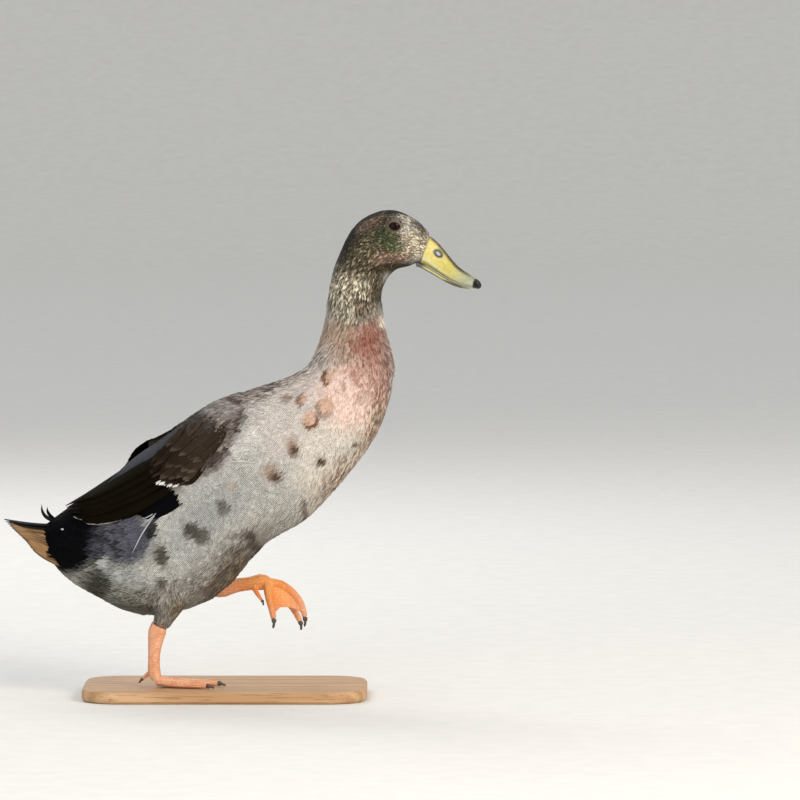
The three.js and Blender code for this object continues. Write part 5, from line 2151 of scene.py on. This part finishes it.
@dataclass
class Studio:
    """A pale floor, soft light and a camera far off on the bird's right.

    Attributes:
        aim: what the camera looks at.
        distance: how far it stands.
        elevation: how far it looks down, in degrees.
        view: the width that it shows at the aim.
        sensor: the width of its sensor, in mm.
        flat: how far the floor is flat.
        sweep: the radius of its sweep.
        lights: the name, place, size, power and colour of each light.
    """

    aim: Vector = field(default_factory=lambda: Vector((0.154, 0.0, 0.261)))
    distance: float = 6.0
    elevation: float = 3.5
    view: float = 0.704
    sensor: float = 36.0
    flat: float = 9.0
    sweep: float = 4.0
    lights: tuple[tuple[str, Triple, float, float, int], ...] = (
        ("key", (2.1, -2.3, 1.8), 1.2, 74, 0xFFF4E6),
        ("fill", (-1.0, -3.0, 0.9), 2.0, 34, 0xF4F7FF),
        ("back", (-0.8, 1.9, 1.9), 1.4, 24, 0xFFFFFF),
    )

    def build(self) -> None:
        """Makes the floor, the lights and the camera."""
        self.floor()
        bpy.context.scene.view_settings.view_transform = "Standard"
        world = bpy.data.worlds.new("studio")
        world.use_nodes = True
        background = world.node_tree.nodes["Background"]
        background.inputs["Color"].default_value = rgba(0xF2F5FA)
        background.inputs["Strength"].default_value = 0.75
        bpy.context.scene.world = world
        for given in self.lights:
            self.light(*given)
        self.camera()

    def floor(self) -> None:
        """A wide round floor whose rim sweeps up far off, so that no horizon shows."""
        bm = bmesh.new()
        flat, sweep = self.flat, self.sweep
        turns = (math.radians(step * 15) for step in range(7))
        rim = [(flat + sweep * math.sin(turn), sweep * (1 - math.cos(turn))) for turn in turns]
        outline = [(0.0, 0.0), (3.0, 0.0), *rim, (flat + sweep, 2 * sweep)]
        profile = [bm.verts.new((out, 0, up - 0.0005)) for out, up in outline]
        edges = [bm.edges.new(pair) for pair in zip(profile, profile[1:])]
        bmesh.ops.spin(
            bm, geom=profile + edges, axis=(0, 0, 1), cent=(0, 0, 0), angle=math.tau, steps=72,
                use_merge=True
        )
        bmesh.ops.remove_doubles(bm, verts=bm.verts, dist=1e-4)
        bmesh.ops.recalc_face_normals(bm, faces=bm.faces)
        bmesh.ops.reverse_faces(bm, faces=bm.faces)
        mesh = mesh_of(bm, "floor")
        for polygon in mesh.polygons:
            polygon.use_smooth = True
        made, g, shader = new_material("pale_floor")
        grain = g.span(g.noise(g.place(), 40.0, 3.0), 0.3, 0.7)
        g.dress(shader, Base_Color=g.mix(grain, rgba(0xE6E4DF), rgba(0xEAE8E3)), Roughness=0.9)
        mesh.materials.append(made)
        floor = linked("floor", mesh)

    def light(self, name: str, place: Triple, size: float, power: float, colour: int) -> None:
        """A square soft light that faces the bird."""
        lamp = bpy.data.lights.new(name, "AREA")
        lamp.size, lamp.energy, lamp.color = size, power, linear(colour)
        made = linked(name, lamp)
        made.location = place
        made.rotation_euler = (self.aim - made.location).to_track_quat("-Z", "Y").to_euler()

    def camera(self) -> None:
        """The camera, square to the bird's right side."""
        lens = bpy.data.cameras.new("camera")
        lens.sensor_width = self.sensor
        lens.lens = self.sensor * self.distance / self.view
        made = linked("camera", lens)
        tilt = math.radians(self.elevation)
        made.location = self.aim + Vector((0, -math.cos(tilt), math.sin(tilt))) * self.distance
        made.rotation_euler = (math.pi / 2 - tilt, 0, 0)
        bpy.context.scene.camera = made


def main() -> None:
    """Builds the bird on its base, from the skin outwards."""
    logging.basicConfig(level=logging.INFO, format="%(name)s: %(message)s")
    Studio().build()
    Bird().build()


if __name__ == "__main__":
    main()
